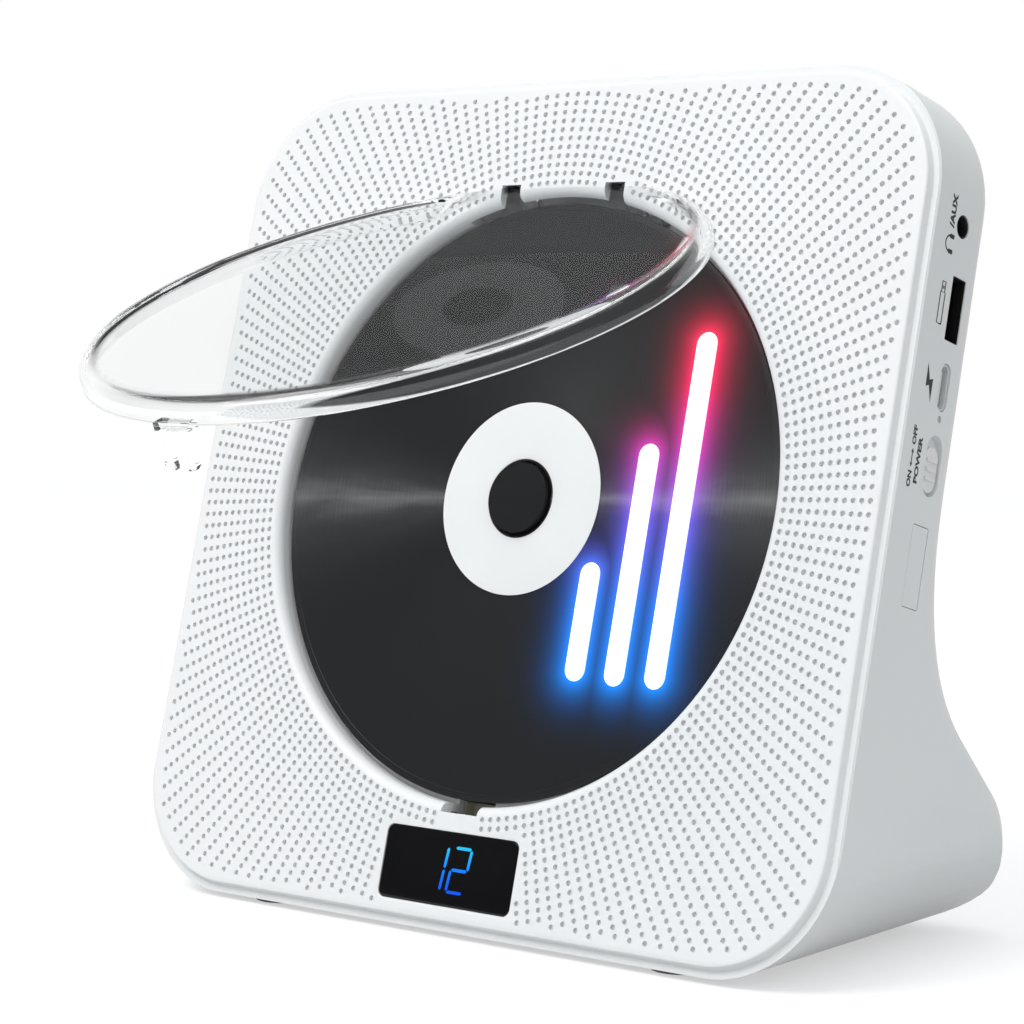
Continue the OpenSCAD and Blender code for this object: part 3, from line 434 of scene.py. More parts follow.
def carved(bm, *steps):
    """Cuts or joins solids, in turn: each step is ("DIFFERENCE", "UNION" or "INTERSECT", solid)."""
    mesh = bpy.data.meshes.new("work")
    bm.to_mesh(mesh)
    bm.free()
    work = bpy.data.objects.new("work", mesh)
    COLLECTION.objects.link(work)
    for operation, tool in steps:
        tool_mesh = bpy.data.meshes.new("tool")
        tool.to_mesh(tool_mesh)
        tool.free()
        cutter = bpy.data.objects.new("tool", tool_mesh)
        COLLECTION.objects.link(cutter)
        change = work.modifiers.new("cut", "BOOLEAN")
        change.operation, change.solver, change.object = operation, "EXACT", cutter
        result = evaluated_mesh(work)
        work.modifiers.clear()
        old = work.data
        work.data = result
        bpy.data.meshes.remove(old)
        bpy.data.objects.remove(cutter)
        bpy.data.meshes.remove(tool_mesh)
    out = bmesh.new()
    out.from_mesh(work.data)
    old = work.data
    bpy.data.objects.remove(work)
    bpy.data.meshes.remove(old)
    bmesh.ops.remove_doubles(out, verts=out.verts, dist=0.0005)
    return out


# ---------------------------------------------------------------- geometry nodes
class Tree:
    """A geometry node tree with named inputs, run on one mesh."""

    def __init__(self, name, **inputs):
        self.tree = bpy.data.node_groups.new(name, "GeometryNodeTree")
        self.ids = {}
        self.values = {}
        face = self.tree.interface
        face.new_socket("Geometry", in_out="INPUT", socket_type="NodeSocketGeometry")
        face.new_socket("Geometry", in_out="OUTPUT", socket_type="NodeSocketGeometry")
        kinds = {float: "NodeSocketFloat", int: "NodeSocketInt", bpy.types.Material: "NodeSocketMaterial"}
        for key, value in inputs.items():
            label = key.replace("_", " ").capitalize()
            kind = "NodeSocketMaterial" if isinstance(value, bpy.types.Material) else kinds[type(value)]
            socket = face.new_socket(label, in_out="INPUT", socket_type=kind)
            self.ids[key] = socket.identifier
            self.values[key] = value
        self.source = self.tree.nodes.new("NodeGroupInput")
        self.sink = self.tree.nodes.new("NodeGroupOutput")

    def input(self, key):
        return [s for s in self.source.outputs if s.identifier == self.ids[key]][0]

    def add(self, kind, links=None, **values):
        node = self.tree.nodes.new(kind if "Node" in kind else "GeometryNode" + kind)
        for key, value in values.items():
            setattr(node, key, value)
        for key, value in (links or {}).items():
            socket = node.inputs[key]
            if isinstance(value, bpy.types.NodeSocket):
                self.tree.links.new(value, socket)
            elif isinstance(value, list):
                for one in value:
                    self.tree.links.new(one, socket)
            else:
                socket.default_value = value
        return node.outputs[0]

    def run(self, mesh, result):
        """Runs the tree on a mesh and gives the plain mesh that it makes."""
        self.tree.links.new(result, self.sink.inputs[0])
        holder = bpy.data.objects.new("holder", mesh)
        COLLECTION.objects.link(holder)
        change = holder.modifiers.new("nodes", "NODES")
        change.node_group = self.tree
        for key, value in self.values.items():
            change[self.ids[key]] = value
        out = evaluated_mesh(holder)
        holder.modifiers.clear()
        bpy.data.objects.remove(holder)
        bpy.data.meshes.remove(mesh)
        return out


# ---------------------------------------------------------------- front panel
GRILLE_FIRST = 65.373
GRILLE_STEP = 1.8131
GRILLE_LINES = 200
HOLE_RADIUS = 0.56
HOLE_DEPTH = 0.75
FLAT_MARGIN = 2.3
WINDOW_MARGIN = 1.2
SLOT_MARGIN = 0.9
TONGUE_WALL = 1.5
TONGUE_DEPTH = 4.5
TONGUE_END = -55
FOOT_EDGE = -82.3


def grille_places():
    """Hole places: radial lines crossed by rings, kept on the flat of the panel and off the window."""
    places = []
    reach = PANEL_HALF - FLAT_MARGIN
    flat_half = PANEL_HALF - PANEL_CORNER
    for ring in range(-1, 30):
        r = GRILLE_FIRST + GRILLE_STEP * ring
        if r - HOLE_RADIUS < WELL_RADIUS + LIP_RADIUS - 0.02:
            continue
        for line in range(GRILLE_LINES):
            t = 2 * math.pi * line / GRILLE_LINES
            u, v = r * math.cos(t), r * math.sin(t)
            corner = max(abs(u) - flat_half, 0), max(abs(v) - flat_half, 0)
            past_flat = abs(u) > reach or abs(v) > reach or math.hypot(*corner) > PANEL_CORNER - FLAT_MARGIN
            at_window = (WINDOW[0] - WINDOW_MARGIN < u < WINDOW[1] + WINDOW_MARGIN
                         and WINDOW[2] - WINDOW_MARGIN < v < WINDOW[3] + WINDOW_MARGIN)
            at_arm = ARM_SLOT[0] - SLOT_MARGIN < abs(u) < ARM_SLOT[1] + SLOT_MARGIN and 0 < v < NOTCH_TOP + SLOT_MARGIN
            at_prongs = abs(u) < PRONG_SLOT[0] + SLOT_MARGIN and PRONG_SLOT[1] - SLOT_MARGIN < v < 0
            if not (past_flat or at_window or at_arm or at_prongs):
                places.append((u, v))
    return places


def lip_loop(r, slot_v, steps=88):
    """The well's round edge at one height, with a slot for each lid arm above and one for the lid's prongs below."""
    def turn_at(u, side=1):
        return math.atan2(side * math.sqrt(r * r - u * u), u) % (2 * math.pi)
    inner, outer = ARM_SLOT
    half, low = PRONG_SLOT
    left = (turn_at(-outer), turn_at(-half, -1), steps, ((-half, low), (half, low)))
    right = (turn_at(half, -1), turn_at(outer) + 2 * math.pi, steps, ((outer, slot_v), (inner, slot_v)))
    between = (turn_at(inner), turn_at(-inner), 20, ((-inner, slot_v), (-outer, slot_v)))
    out = []
    for start, end, count, after in (left, right, between):
        turns = [start + (end - start) * i / count for i in range(count + 1)]
        out += [(r * math.cos(t), r * math.sin(t)) for t in turns]
        out += after
    return out


def window_frame():
    """Middle and half sizes of the display window."""
    return ((WINDOW[0] + WINDOW[1]) / 2, (WINDOW[2] + WINDOW[3]) / 2,
            (WINDOW[1] - WINDOW[0]) / 2, (WINDOW[3] - WINDOW[2]) / 2)


def cut_at(rows, base, angles):
    """Adds to each row of a loop the points where rays at these angles cross the base loop; gives their places."""
    out, marks = [[] for _ in rows], {}
    for i, p in enumerate(base):
        q = base[(i + 1) % len(base)]
        for k, row in enumerate(rows):
            out[k].append(Vector(row[i]))
        first = math.atan2(p[1], p[0])
        span = (math.atan2(q[1], q[0]) - first) % (2 * math.pi)
        if span > math.pi:
            continue
        for angle in sorted(angles, key=lambda a: (a - first) % (2 * math.pi)):
            if not 1e-7 < (angle - first) % (2 * math.pi) < span - 1e-7:
                continue
            cx, cy = math.cos(angle), math.sin(angle)
            t = -(p[0] * cy - p[1] * cx) / ((q[0] - p[0]) * cy - (q[1] - p[1]) * cx)
            marks[angle] = len(out[0])
            for k, row in enumerate(rows):
                out[k].append(Vector(row[i]).lerp(Vector(row[(i + 1) % len(row)]), t))
    return out, marks


def part_of(ring, first, last):
    return ring[first:last + 1] if first <= last else ring[first:] + ring[:last + 1]


SECTOR_CUTS = [math.radians(a) for a in (0.9, 18.9, 36.9, 54.9, 71.1, 89.1, 108.9, 126.9, 144.9, 162.9, 180.9, 198.9,
                                         216.9, 234.9, 251.1, 288.9, 306.9, 324.9, 342.9)]


def front_panel():
    """The panel: a drilled face in sectors, then its edges and the tongue that goes into the housing."""
    cu, cv, hu, hv = window_frame()
    outer = [(PANEL_HALF - 1.25, 0), (PANEL_HALF - 0.9, 0)] + arc(PANEL_HALF - 0.9, -0.55, 0.55, 90, 0, 6)[1:-1]
    tongue_in, tongue_w = TONGUE_HALF - TONGUE_WALL, -PANEL_STEP - TONGUE_DEPTH
    outer += [(PANEL_HALF - 0.3, -0.75), (PANEL_HALF, -PANEL_STEP), (TONGUE_HALF, -PANEL_STEP), (TONGUE_HALF, tongue_w),
              (tongue_in, tongue_w), (tongue_in, -PANEL_THICK)]
    outer = [[(x, y, w) if h > TONGUE_HALF or y > TONGUE_END else (x, max(y, FOOT_EDGE), max(w, -PANEL_THICK))
              for x, y in rounded(h, h, max(PANEL_CORNER - (PANEL_HALF - h), 1), 20)] for h, w in outer]
    outer, outer_marks = cut_at(outer, outer[0], SECTOR_CUTS)
    well = [(WELL_RADIUS + LIP_RADIUS, 0, NOTCH_TOP)]
    for k in range(1, 9):
        a = math.pi / 16 * k
        r, w = WELL_RADIUS + LIP_RADIUS * (1 - math.sin(a)), -LIP_RADIUS * (1 - math.cos(a))
        well.append((r, w, NOTCH_TOP + (NOTCH_LOW - NOTCH_TOP) * -w / PANEL_THICK))
    well = [[(x, y, w) for x, y in lip_loop(r, top)] for r, w, top in well]
    well, well_marks = cut_at(well, well[0], SECTOR_CUTS)
    window = [[(x, y, w) for x, y in rounded(hu + g, hv + g, 1.6 + g, 6, cu, cv)]
              for g, w in ((0.15, 0), (0.06, -0.03), (0.0, -0.12), (0.0, -PANEL_THICK))]

    # the drilled face, in sectors: outlines are edge loops, hole places are loose points
    source = bmesh.new()
    sector_of = source.verts.layers.int.new("sector")

    def outline(points, sector):
        ring = loop(source, points)
        for i, vert in enumerate(ring):
            vert[sector_of] = sector
            source.edges.new((ring[i - 1], vert))

    for i, (start, end) in enumerate(zip(SECTOR_CUTS, SECTOR_CUTS[1:] + SECTOR_CUTS[:1])):
        far = part_of(outer[0], outer_marks[start], outer_marks[end])
        near = part_of(well[0], well_marks[start], well_marks[end])
        outline(far + near[::-1], i)
        if start < math.radians(270) < end:
            outline(window[0], i)
    for u, v in grille_places():
        vert = source.verts.new((u, v, 0))
        angle = math.atan2(v, u) % (2 * math.pi)
        vert[sector_of] = (sum(angle > t for t in SECTOR_CUTS) - 1) % len(SECTOR_CUTS)
    plan = bpy.data.meshes.new("plan")
    source.to_mesh(plan)
    source.free()
    t = Tree("drilled_face", hole_radius=HOLE_RADIUS, hole_sides=10, hole_depth=HOLE_DEPTH, face_finish=shell_white,
             hole_finish=hole_cloth_and_shade_grey)
    geometry = t.source.outputs[0]
    neighbours = t.add("InputMeshVertexNeighbors")
    alone = t.add("FunctionNodeCompare", {2: neighbours}, data_type="INT", operation="EQUAL")
    outlines = t.add("MeshToCurve", {"Mesh": geometry})
    places = t.add("MeshToPoints", {"Mesh": geometry, "Selection": alone})
    round_hole = t.add("CurvePrimitiveCircle", {"Resolution": t.input("hole_sides"), "Radius": t.input("hole_radius")})
    rims = t.add("InstanceOnPoints", {"Points": places, "Instance": round_hole})
    rims = t.add("RealizeInstances", {"Geometry": rims})
    sector = t.add("InputNamedAttribute", {"Name": "sector"}, data_type="INT")
    borders = t.add("JoinGeometry", {"Geometry": [outlines, rims]})
    face = t.add("FillCurve", {"Curve": borders, "Group ID": sector}, mode="TRIANGLES")
    face = t.add("SetMaterial", {"Geometry": face, "Material": t.input("face_finish")})
    negative = t.add("ShaderNodeMath", {0: t.input("hole_depth"), 1: -1.0}, operation="MULTIPLY")
    drop = t.add("ShaderNodeCombineXYZ", {2: negative})
    circle = {"Vertices": t.input("hole_sides"), "Radius": t.input("hole_radius")}
    rim = t.add("MeshCircle", circle, fill_type="NONE")
    wall = t.add("ExtrudeMesh", {"Mesh": rim, "Offset": drop, "Offset Scale": 1.0}, mode="EDGES")
    wall = t.add("SetMaterial", {"Geometry": wall, "Material": t.input("face_finish")})
    # each hole's floor: grey for the cloth behind and for painted shade inside the hole
    floor = t.add("MeshCircle", circle, fill_type="NGON")
    floor = t.add("Transform", {"Geometry": floor, "Translation": drop})
    floor = t.add("SetMaterial", {"Geometry": floor, "Material": t.input("hole_finish")})
    cup = t.add("JoinGeometry", {"Geometry": [wall, floor]})
    cups = t.add("InstanceOnPoints", {"Points": places, "Instance": cup})
    cups = t.add("RealizeInstances", {"Geometry": cups})
    drilled = t.run(plan, t.add("JoinGeometry", {"Geometry": [face, cups]}))

    # edges: the rounded outer edge and step, the well's lip, the window's edge, and the tongue behind
    bm = bmesh.new()
    rows, rows_in, rows_win = ([loop(bm, points) for points in group] for group in (outer, well, window))
    for group in (rows, rows_in, rows_win):
        for a, b in zip(group, group[1:]):
            bridge(bm, a, b)
    # back face between the tongue, the lip and the window
    edges = [bm.edges.get((ring[i - 1], ring[i])) for ring in (rows[-1], rows_in[-1], rows_win[-1])
             for i in range(len(ring))]
    bmesh.ops.triangle_fill(bm, edges=edges, use_beauty=True)
    rim_mesh = bpy.data.meshes.new("rim")
    bmesh.ops.recalc_face_normals(bm, faces=bm.faces)
    bm.to_mesh(rim_mesh)
    bm.free()
    whole = bmesh.new()
    whole.from_mesh(drilled)
    bmesh.ops.triangulate(whole, faces=[f for f in whole.faces if len(f.verts) > 4])
    whole.from_mesh(rim_mesh)
    bmesh.ops.remove_doubles(whole, verts=whole.verts, dist=0.002)
    bmesh.ops.recalc_face_normals(whole, faces=whole.faces)
    piece("drilled_front_panel", whole, "case", "white_shell", shell_white, hole_cloth_and_shade_grey, smooth=28,
          replaces=("front_panel",))


front_panel()


# ---------------------------------------------------------------- disc, hub and window
# Bars on the disc that glow, their glow painted as emission: place in u, low end and high end in v
BARS = ((20.0, -32.4, -14.0), (29.4, -32.6, 9.6), (38.8, -32.4, 31.6))
BAR_RADIUS = 2.35
PAINTED_GLOW_STRENGTH = 1.15
PAINTED_GLOW_FADE = -0.42
LABEL_OUT = 19.33


def neon_colours(f, height):
    """Blue low on the disc, through violet, to red at its top."""
    return f.ramp(f.math("MULTIPLY_ADD", height, 1 / 84, 0.5), [
        (0.09, (0.0, 0.25, 1.0)), (0.27, (0.02, 0.22, 1.0)), (0.47, (0.13, 0.08, 0.8)), (0.62, (0.55, 0.03, 0.45)),
        (0.78, (1.0, 0.01, 0.12)), (0.93, (1.0, 0.015, 0.08))])


def bar_distance(f, u, v):
    """Distance from the nearest glowing bar's middle line, in mm."""
    nearest = None
    for at, low, high in BARS:
        side = f.math("SUBTRACT", u, at)
        along = f.math("ABSOLUTE", f.math("SUBTRACT", v, (low + high) / 2))
        beyond = f.math("MAXIMUM", f.math("SUBTRACT", along, (high - low) / 2), 0.0)
        far = f.length(side, beyond)
        nearest = far if nearest is None else f.math("MINIMUM", nearest, far)
    return nearest


def disc_face():
    """Black disc: fine grooves, soft fans of painted highlight (sheen) to the left and right, and a painted glow, as
    emission, round the glowing bars.
    """
    f = Finish("disc_black_grooved", (0.02, 0.02, 0.021), 0.4, Specular_IOR_Level=0.3)
    u, v, _ = f.panel_parts()
    radius = f.length(u, v)
    # painted highlight: fans of sheen in the base colour, brightest along the line through the middle to the left and
    # right
    off_axis = f.math("ABSOLUTE", f.math("ADD", v, f.math("MULTIPLY", u, -0.04)))
    slope = f.math("DIVIDE", off_axis, f.math("MAXIMUM", radius, 1.0))
    painted_fan = f.math("POWER", f.math("SUBTRACT", 1.0, slope), 7.0)
    ring = f.add("ShaderNodeCombineXYZ")
    f.link(f.math("MULTIPLY", radius, 3.2), ring.inputs[0])
    tracks = f.noise(1.0, 5.0, ring.outputs[0], 0.7)
    fine = f.add("ShaderNodeCombineXYZ")
    f.link(f.math("MULTIPLY", radius, 11.0), fine.inputs[0])
    hairs = f.noise(1.0, 2.0, fine.outputs[0])
    angle = f.math("ARCTAN2", v, u)
    streak = f.add("ShaderNodeCombineXYZ")
    f.link(f.math("MULTIPLY", angle, 9.0), streak.inputs[0])
    f.link(f.math("MULTIPLY", radius, 0.05), streak.inputs[1])
    rays = f.noise(1.0, 3.0, streak.outputs[0])
    painted_sheen = f.math("MULTIPLY", painted_fan, f.math("MULTIPLY", f.math("ADD", 0.25, tracks), f.math("ADD", 0.4, rays)))
    # dark groove colour rising to the pale grey of the painted highlight
    shades = [(0.0, (0.013, 0.0135, 0.0145)), (0.35, (0.048, 0.05, 0.052)), (0.8, (0.17, 0.172, 0.176))]
    f.link(f.ramp(painted_sheen, shades), f.shader.inputs["Base Color"])
    f.bump(f.math("ADD", f.math("MULTIPLY", tracks, 0.6), f.math("MULTIPLY", hairs, 0.6)), 0.16, 0.00006)
    # painted glow: emission on the disc round the bars, fading away from their edge
    distance = f.math("SUBTRACT", bar_distance(f, u, v), BAR_RADIUS)
    painted_glow = f.math("POWER", 2.718, f.math("MULTIPLY", f.math("MAXIMUM", distance, 0.0), PAINTED_GLOW_FADE))
    f.link(neon_colours(f, v), f.shader.inputs["Emission Color"])
    f.link(f.math("MULTIPLY", painted_glow, PAINTED_GLOW_STRENGTH), f.shader.inputs["Emission Strength"])
    return f.material


def painted_glow_bar_white():
    """Painted glow of a bar, as emission: a white heart with a coloured skin at its edge."""
    f = Finish("painted_glow_bar", (0.9, 0.9, 0.9), 0.3)
    u, v, _ = f.panel_parts()
    outwards = f.math("DIVIDE", bar_distance(f, u, v), BAR_RADIUS)
    heart = f.add("ShaderNodeMix", data_type="RGBA")
    f.link(f.ramp(outwards, [(0.72, (0, 0, 0)), (1.0, (0.75, 0.75, 0.75))]), heart.inputs[0])
    heart.inputs[6].default_value = (1, 1, 1, 1)
    f.link(neon_colours(f, v), heart.inputs[7])
    f.link(heart.outputs[2], f.shader.inputs["Emission Color"])
    f.set(f.shader, **{"Emission Strength": PAINTED_GLOW_STRENGTH})
    return f.material


def label_paper():
    f = Finish("label_white", (0.86, 0.86, 0.86), 0.5)
    f.shades(f.noise(60.0, 3.0), (0.845, 0.845, 0.845), (0.875, 0.875, 0.875))
    f.bump(f.noise(1800.0, 3.0), 0.08, 0.00005)
    return f.material


hub_black = moulded("hub_black", (0.024, 0.0245, 0.026), 0.38, 2600.0, 0.08, 0.08, Specular_IOR_Level=0.3)
disc_black = disc_face()
label_white = label_paper()
bar_white = painted_glow_bar_white()


def disc():
    """The disc with its sunk grooved band, its paper label and the bars with their painted glow."""
    low, groove = DISC_TOP - DISC_THICK, DISC_TOP - 0.06
    profile = [(DISC_HOLE, low), (DISC_RADIUS - 0.2, low), (DISC_RADIUS, low + 0.2)]
    profile += arc(DISC_RADIUS - 0.25, DISC_TOP - 0.25, 0.25, 0, 90, 3)
    profile += [(58.6, DISC_TOP), (58.5, groove), (21.4, groove), (21.2, DISC_TOP), (DISC_HOLE, DISC_TOP)]
    piece("grooved_disc", turn(profile, 192), "spindle", "disc_face", disc_black, smooth=30, replaces=("disc",))
    paper = DISC_TOP + 0.08
    label = [(7.9, DISC_TOP), (LABEL_OUT, DISC_TOP), (LABEL_OUT, DISC_TOP + 0.05), (19.2, paper), (8.0, paper)]
    piece("disc_label", turn(label, 128), "spindle", "disc_face", label_white, smooth=30)
    bars = []
    for u, low_v, high_v in BARS:
        outline = arc(u, high_v, BAR_RADIUS, 0, 180, 12) + arc(u, low_v, BAR_RADIUS, 180, 360, 12)
        bars.append(prism(outline, DISC_TOP - 0.04, DISC_TOP + 0.12, 0.1, 2))
    piece("painted_glow_bars", joined(*bars), "spindle", "disc_face", bar_white, smooth=40)


def spindle_cap():
    """The cap of the hub that centres the disc, dished and with a rounded rim."""
    r, low = HUB_RADIUS, DISC_TOP - DISC_THICK
    profile = [(0, low), (r - 0.05, low), (r - 0.05, HUB_TOP - 0.55)]
    profile += arc(r - 0.55, HUB_TOP - 0.55, 0.5, 0, 90, 5)[1:-1]
    profile += [(r - 0.6, HUB_TOP - 0.05), (r - 1.1, HUB_TOP - 0.1), (r - 1.35, HUB_TOP - 0.3),
                (r - 1.8, HUB_TOP - 0.33), (0, HUB_TOP - 0.33)]
    bm = turn(profile, 96, closed_profile=False)
    piece("hub_cap", bm, "spindle", "black_plastic", hub_black, smooth=35)


def display_light():
    """Lit digits, deep blue at their feet and pale blue at their heads."""
    f = Finish("display_blue", (0.0, 0.02, 0.05), 0.3)
    _, v, _ = f.panel_parts()
    blues = [(0.0, (0.0, 0.06, 0.85)), (0.45, (0.0, 0.2, 1.0)), (1.0, (0.02, 0.62, 0.9))]
    f.link(f.ramp(f.math("MULTIPLY_ADD", v, 0.1, 7.83), blues), f.shader.inputs["Emission Color"])
    f.set(f.shader, **{"Emission Strength": 1.0})
    return f.material


SEGMENTS = {"1": "bc", "2": "abged"}


def digit(sign, cu, cv, wide=4.7, high=9.2, thick=0.62, lean=0.1):
    """A plain seven-segment digit as thin raised strips with pointed ends."""
    hw, hh, t, g = wide / 2 - thick / 2, high / 2 - thick / 2, thick / 2, 0.14
    lines = {"a": ((-hw, hh), (hw, hh)), "g": ((-hw, 0), (hw, 0)), "d": ((-hw, -hh), (hw, -hh)),
             "b": ((hw, 0), (hw, hh)), "e": ((-hw, -hh), (-hw, 0)), "c": ((hw, -hh), (hw, 0))}
    parts = []
    for key in SEGMENTS[sign]:
        (x0, y0), (x1, y1) = lines[key]
        way = Vector((x1 - x0, y1 - y0)).normalized()
        side = Vector((-way.y, way.x))
        a, b = Vector((x0, y0)) + way * g, Vector((x1, y1)) - way * g
        outline = [a, a + way * t - side * t, b - way * t - side * t, b, b - way * t + side * t, a + way * t + side * t]
        parts.append(prism([(cu + p.x + lean * p.y, cv + p.y) for p in outline], -0.12, -0.07))
    return joined(*parts)


def display():
    cu, cv, hu, hv = window_frame()
    glass = prism(rounded(hu - 0.1, hv - 0.1, 1.5, 8, cu, cv), -PANEL_THICK, -0.1, 0.25, 3)
    piece("window_pane", glass, "case", "smoke", black_gloss.material, smooth=40, replaces=("display_window",))
    signs = joined(digit("1", cu - 2.85, cv), digit("2", cu + 2.85, cv))
    piece("display_digits", signs, "case", "light_pipe", display_light(), smooth=0)


# ---------------------------------------------------------------- lid
LID_SKIN = 55.6
LID_RIM = 58.2
ARM_SIDES = (11.0, 15.0)
PRONG_SIDES = (-62.3, -61.1)


def clear_plastic():
    """Clear lid: glass at its thick rim, barely there across its thin skin, and it lets the lamps through."""
    f = Finish("lid_clear", (0.985, 0.99, 0.99), 0.0, Transmission_Weight=1.0, IOR=1.46)
    f.shades(f.noise(30.0, 2.0), (0.975, 0.98, 0.98), (0.99, 0.995, 0.995))
    thin, shade = (f.add("ShaderNodeBsdfTransparent") for _ in range(2))
    f.set(thin, Color=(0.965, 0.97, 0.97, 1))
    f.set(shade, Color=(0.9, 0.91, 0.91, 1))
    place = f.add("ShaderNodeVectorMath", operation="SUBTRACT")
    f.link(f.panel_place(), place.inputs[0])
    place.inputs[1].default_value = OPEN_LID.translation
    parts = []
    for axis in (OPEN_LID.col[0], OPEN_LID.col[1]):
        part = f.add("ShaderNodeVectorMath", operation="DOT_PRODUCT")
        f.link(place.outputs[0], part.inputs[0])
        part.inputs[1].default_value = axis[:3]
        parts.append(part.outputs["Value"])
    glassy = f.smooth_step(f.length(*parts), LID_SKIN, LID_RIM, 0.035, 1.0)
    skin = f.blended(glassy, thin.outputs[0], f.shader.outputs[0])
    shadow_ray = f.add("ShaderNodeLightPath").outputs["Is Shadow Ray"]
    f.link(f.blended(shadow_ray, skin, shade.outputs[0]), f.out.inputs["Surface"])
    return f.material


def slab(first, second):
    """A straight solid between two equal outlines."""
    bm = bmesh.new()
    a, b = loop(bm, first), loop(bm, second)
    bridge(bm, a, b)
    bm.faces.new(a[::-1])
    bm.faces.new(b)
    return outward(bm)


def lid():
    """The open lid: a shell with a round dish at its lower edge, two hinge arms above and two latch prongs below."""
    centre_r, centre_w = LID_RADIUS - LID_EDGE, LID_RISE - LID_EDGE

    def skin(d):
        return [(centre_r * k / 10, LID_RISE - d + LID_CROWN * (1 - (k / 10) ** 2)) for k in range(10)]

    outer = skin(0) + arc(centre_r, centre_w, LID_EDGE, 90, 0, 10)
    foot = [(LID_RADIUS, -RIM_SINK + 0.35), (LID_RADIUS - 0.12, -RIM_SINK + 0.1), (LID_RADIUS - 0.35, -RIM_SINK),
            (LID_RADIUS - LID_THICK + 0.35, -RIM_SINK), (LID_RADIUS - LID_THICK + 0.12, -RIM_SINK + 0.1),
            (LID_RADIUS - LID_THICK, -RIM_SINK + 0.35)]
    inner = arc(centre_r, centre_w, LID_EDGE - LID_THICK, 0, 90, 7) + skin(LID_THICK)[::-1]
    shell = turn(outer + foot + inner, 180, closed_profile=False)
    dish = bmesh.new()
    bmesh.ops.create_uvsphere(dish, u_segments=96, v_segments=128, radius=24)
    dish.transform(Matrix.Translation((0, 12.5 - LID_RADIUS, LID_RISE + 23.4)))
    shell = carved(shell, ("DIFFERENCE", dish))
    shell.transform(OPEN_LID)

    out, inside, low = 60.9, 59.3, HINGE_W - 1.5
    arm_side = arc(HINGE_V, HINGE_W, 1.5, 45, 270, 15)
    arm_side += [(out - 0.8, low), (out - 0.25, low + 0.2), (out, low + 0.8)] + arc(57.8, -0.7, LID_EDGE, 0, 90, 8)
    arm_side += [(52.0, LID_RISE), (52.0, LID_RISE - 1.2), (57.0, LID_RISE - 1.2)] + arc(57.8, -0.7, 1.5, 90, 0, 5)[1:]
    arm_side += [(inside, low + 2.6), (inside - 0.4, low + 2.2), (HINGE_V + 1.2, low + 2.2)]
    prong_face = ((1.6, -1.2), (3.2, -1.2), (3.2, -8.2), (3.9, -8.2), (3.9, -8.6), (2.9, -9.6), (1.6, -9.6),
                  (1.6, -8.6), (1.6, -8.2))
    added = []
    for s in (-1, 1):
        added.append(slab(*([(u, y, z) for y, z in arm_side] for u in sorted(s * u for u in ARM_SIDES))))
        added.append(slab(*([(s * x, y, z) for x, z in prong_face] for y in PRONG_SIDES)))
    added.append(box_bm((-4.1, 4.1), (PRONG_SIDES[0], -59.2), (-RIM_SINK, -RIM_SINK + 1.5)))
    for solid in added:
        solid.transform(OPEN_LID)
    hinge_gap = box_bm((-50, 50), (0, 90), (-40, 1.2))
    whole = outward(carved(shell, ("DIFFERENCE", hinge_gap), *(("UNION", solid) for solid in added)))
    piece("clear_lid", whole, "lid", "clear", clear_plastic(), smooth=32, replaces=("lid",))


disc()
spindle_cap()
display()
lid()


# ---------------------------------------------------------------- rear shell
BASE_Z = -RIM_HALF * math.cos(LEAN) - PANEL_STEP * math.sin(LEAN)
RIM_CORNER = PANEL_CORNER + 1.5
SIDE_HALF = RIM_HALF - 0.01
SHOULDER_RADIUS = 14.0
HEEL_RADIUS = 9.0
NECK_ROUND = 4.0
FOOT_ROUND = 12.0
PORT_W = -12.9
SIDE_IN = RIM_HALF - WALL
UPRIGHT = Matrix(((1, 0, 0), (0, math.sin(LEAN), math.cos(LEAN)), (0, -math.cos(LEAN), math.sin(LEAN)))).to_4x4()
OUT_OF_SIDE = Matrix(((0, 0, 1), (1, 0, 0), (0, 1, 0))).to_4x4()
OUT_OF_TOP = Matrix(((1, 0, 0), (0, 0, 1), (0, 1, 0))).to_4x4()


def back_rows(d, front):
    """Rows (v, w, rounding) down the back and underside, d inside the outer face."""
    def row(y, z, radius):
        return (y * math.sin(LEAN) + z * math.cos(LEAN), -y * math.cos(LEAN) + z * math.sin(LEAN), radius)
    neck = NECK_DEPTH + SWEEP_RADIUS
    mid_y = SWEEP_START * math.sin(LEAN) + neck * math.cos(LEAN)
    mid_z = SWEEP_START * math.cos(LEAN) - neck * math.sin(LEAN)
    shoulder_y = FOOT_BACK - SHOULDER_RADIUS
    half_turn = math.sqrt(0.5)
    ramp = shoulder_y + SHOULDER_RADIUS * half_turn - mid_y + SWEEP_RADIUS * half_turn
    shoulder_z = mid_z - (SWEEP_RADIUS + SHOULDER_RADIUS) * half_turn - ramp
    corner_v = RIM_HALF - RIM_CORNER
    rows = [(v, d - NECK_DEPTH, NECK_ROUND) for v in (corner_v, corner_v * 0.75, corner_v * 0.5, corner_v * 0.3)]
    for i in range(17):
        t = i / 16
        y, z = arc(mid_y, mid_z, SWEEP_RADIUS + d, 165, 225, 16)[i]
        rows.append(row(y, z, NECK_ROUND + (FOOT_ROUND - NECK_ROUND) * t * t * (3 - 2 * t)))
    rows += [row(y, z, FOOT_ROUND) for y, z in arc(shoulder_y, shoulder_z, SHOULDER_RADIUS - d, 45, 0, 9)]
    rows.append(row(FOOT_BACK - d, (shoulder_z + BASE_Z + HEEL_RADIUS) / 2, FOOT_ROUND))
    heel = arc(FOOT_BACK - HEEL_RADIUS, BASE_Z + HEEL_RADIUS, HEEL_RADIUS - d, 0, -90, 8)
    rows += [row(y, z, FOOT_ROUND * (1 - 0.9 * i / 8)) for i, (y, z) in enumerate(heel)]
    rows.append(row(10.0, BASE_Z + d, 1.0))
    end_v = (BASE_Z + d - front * math.sin(LEAN)) / math.cos(LEAN)
    return rows + [(end_v, front, 0.0)]


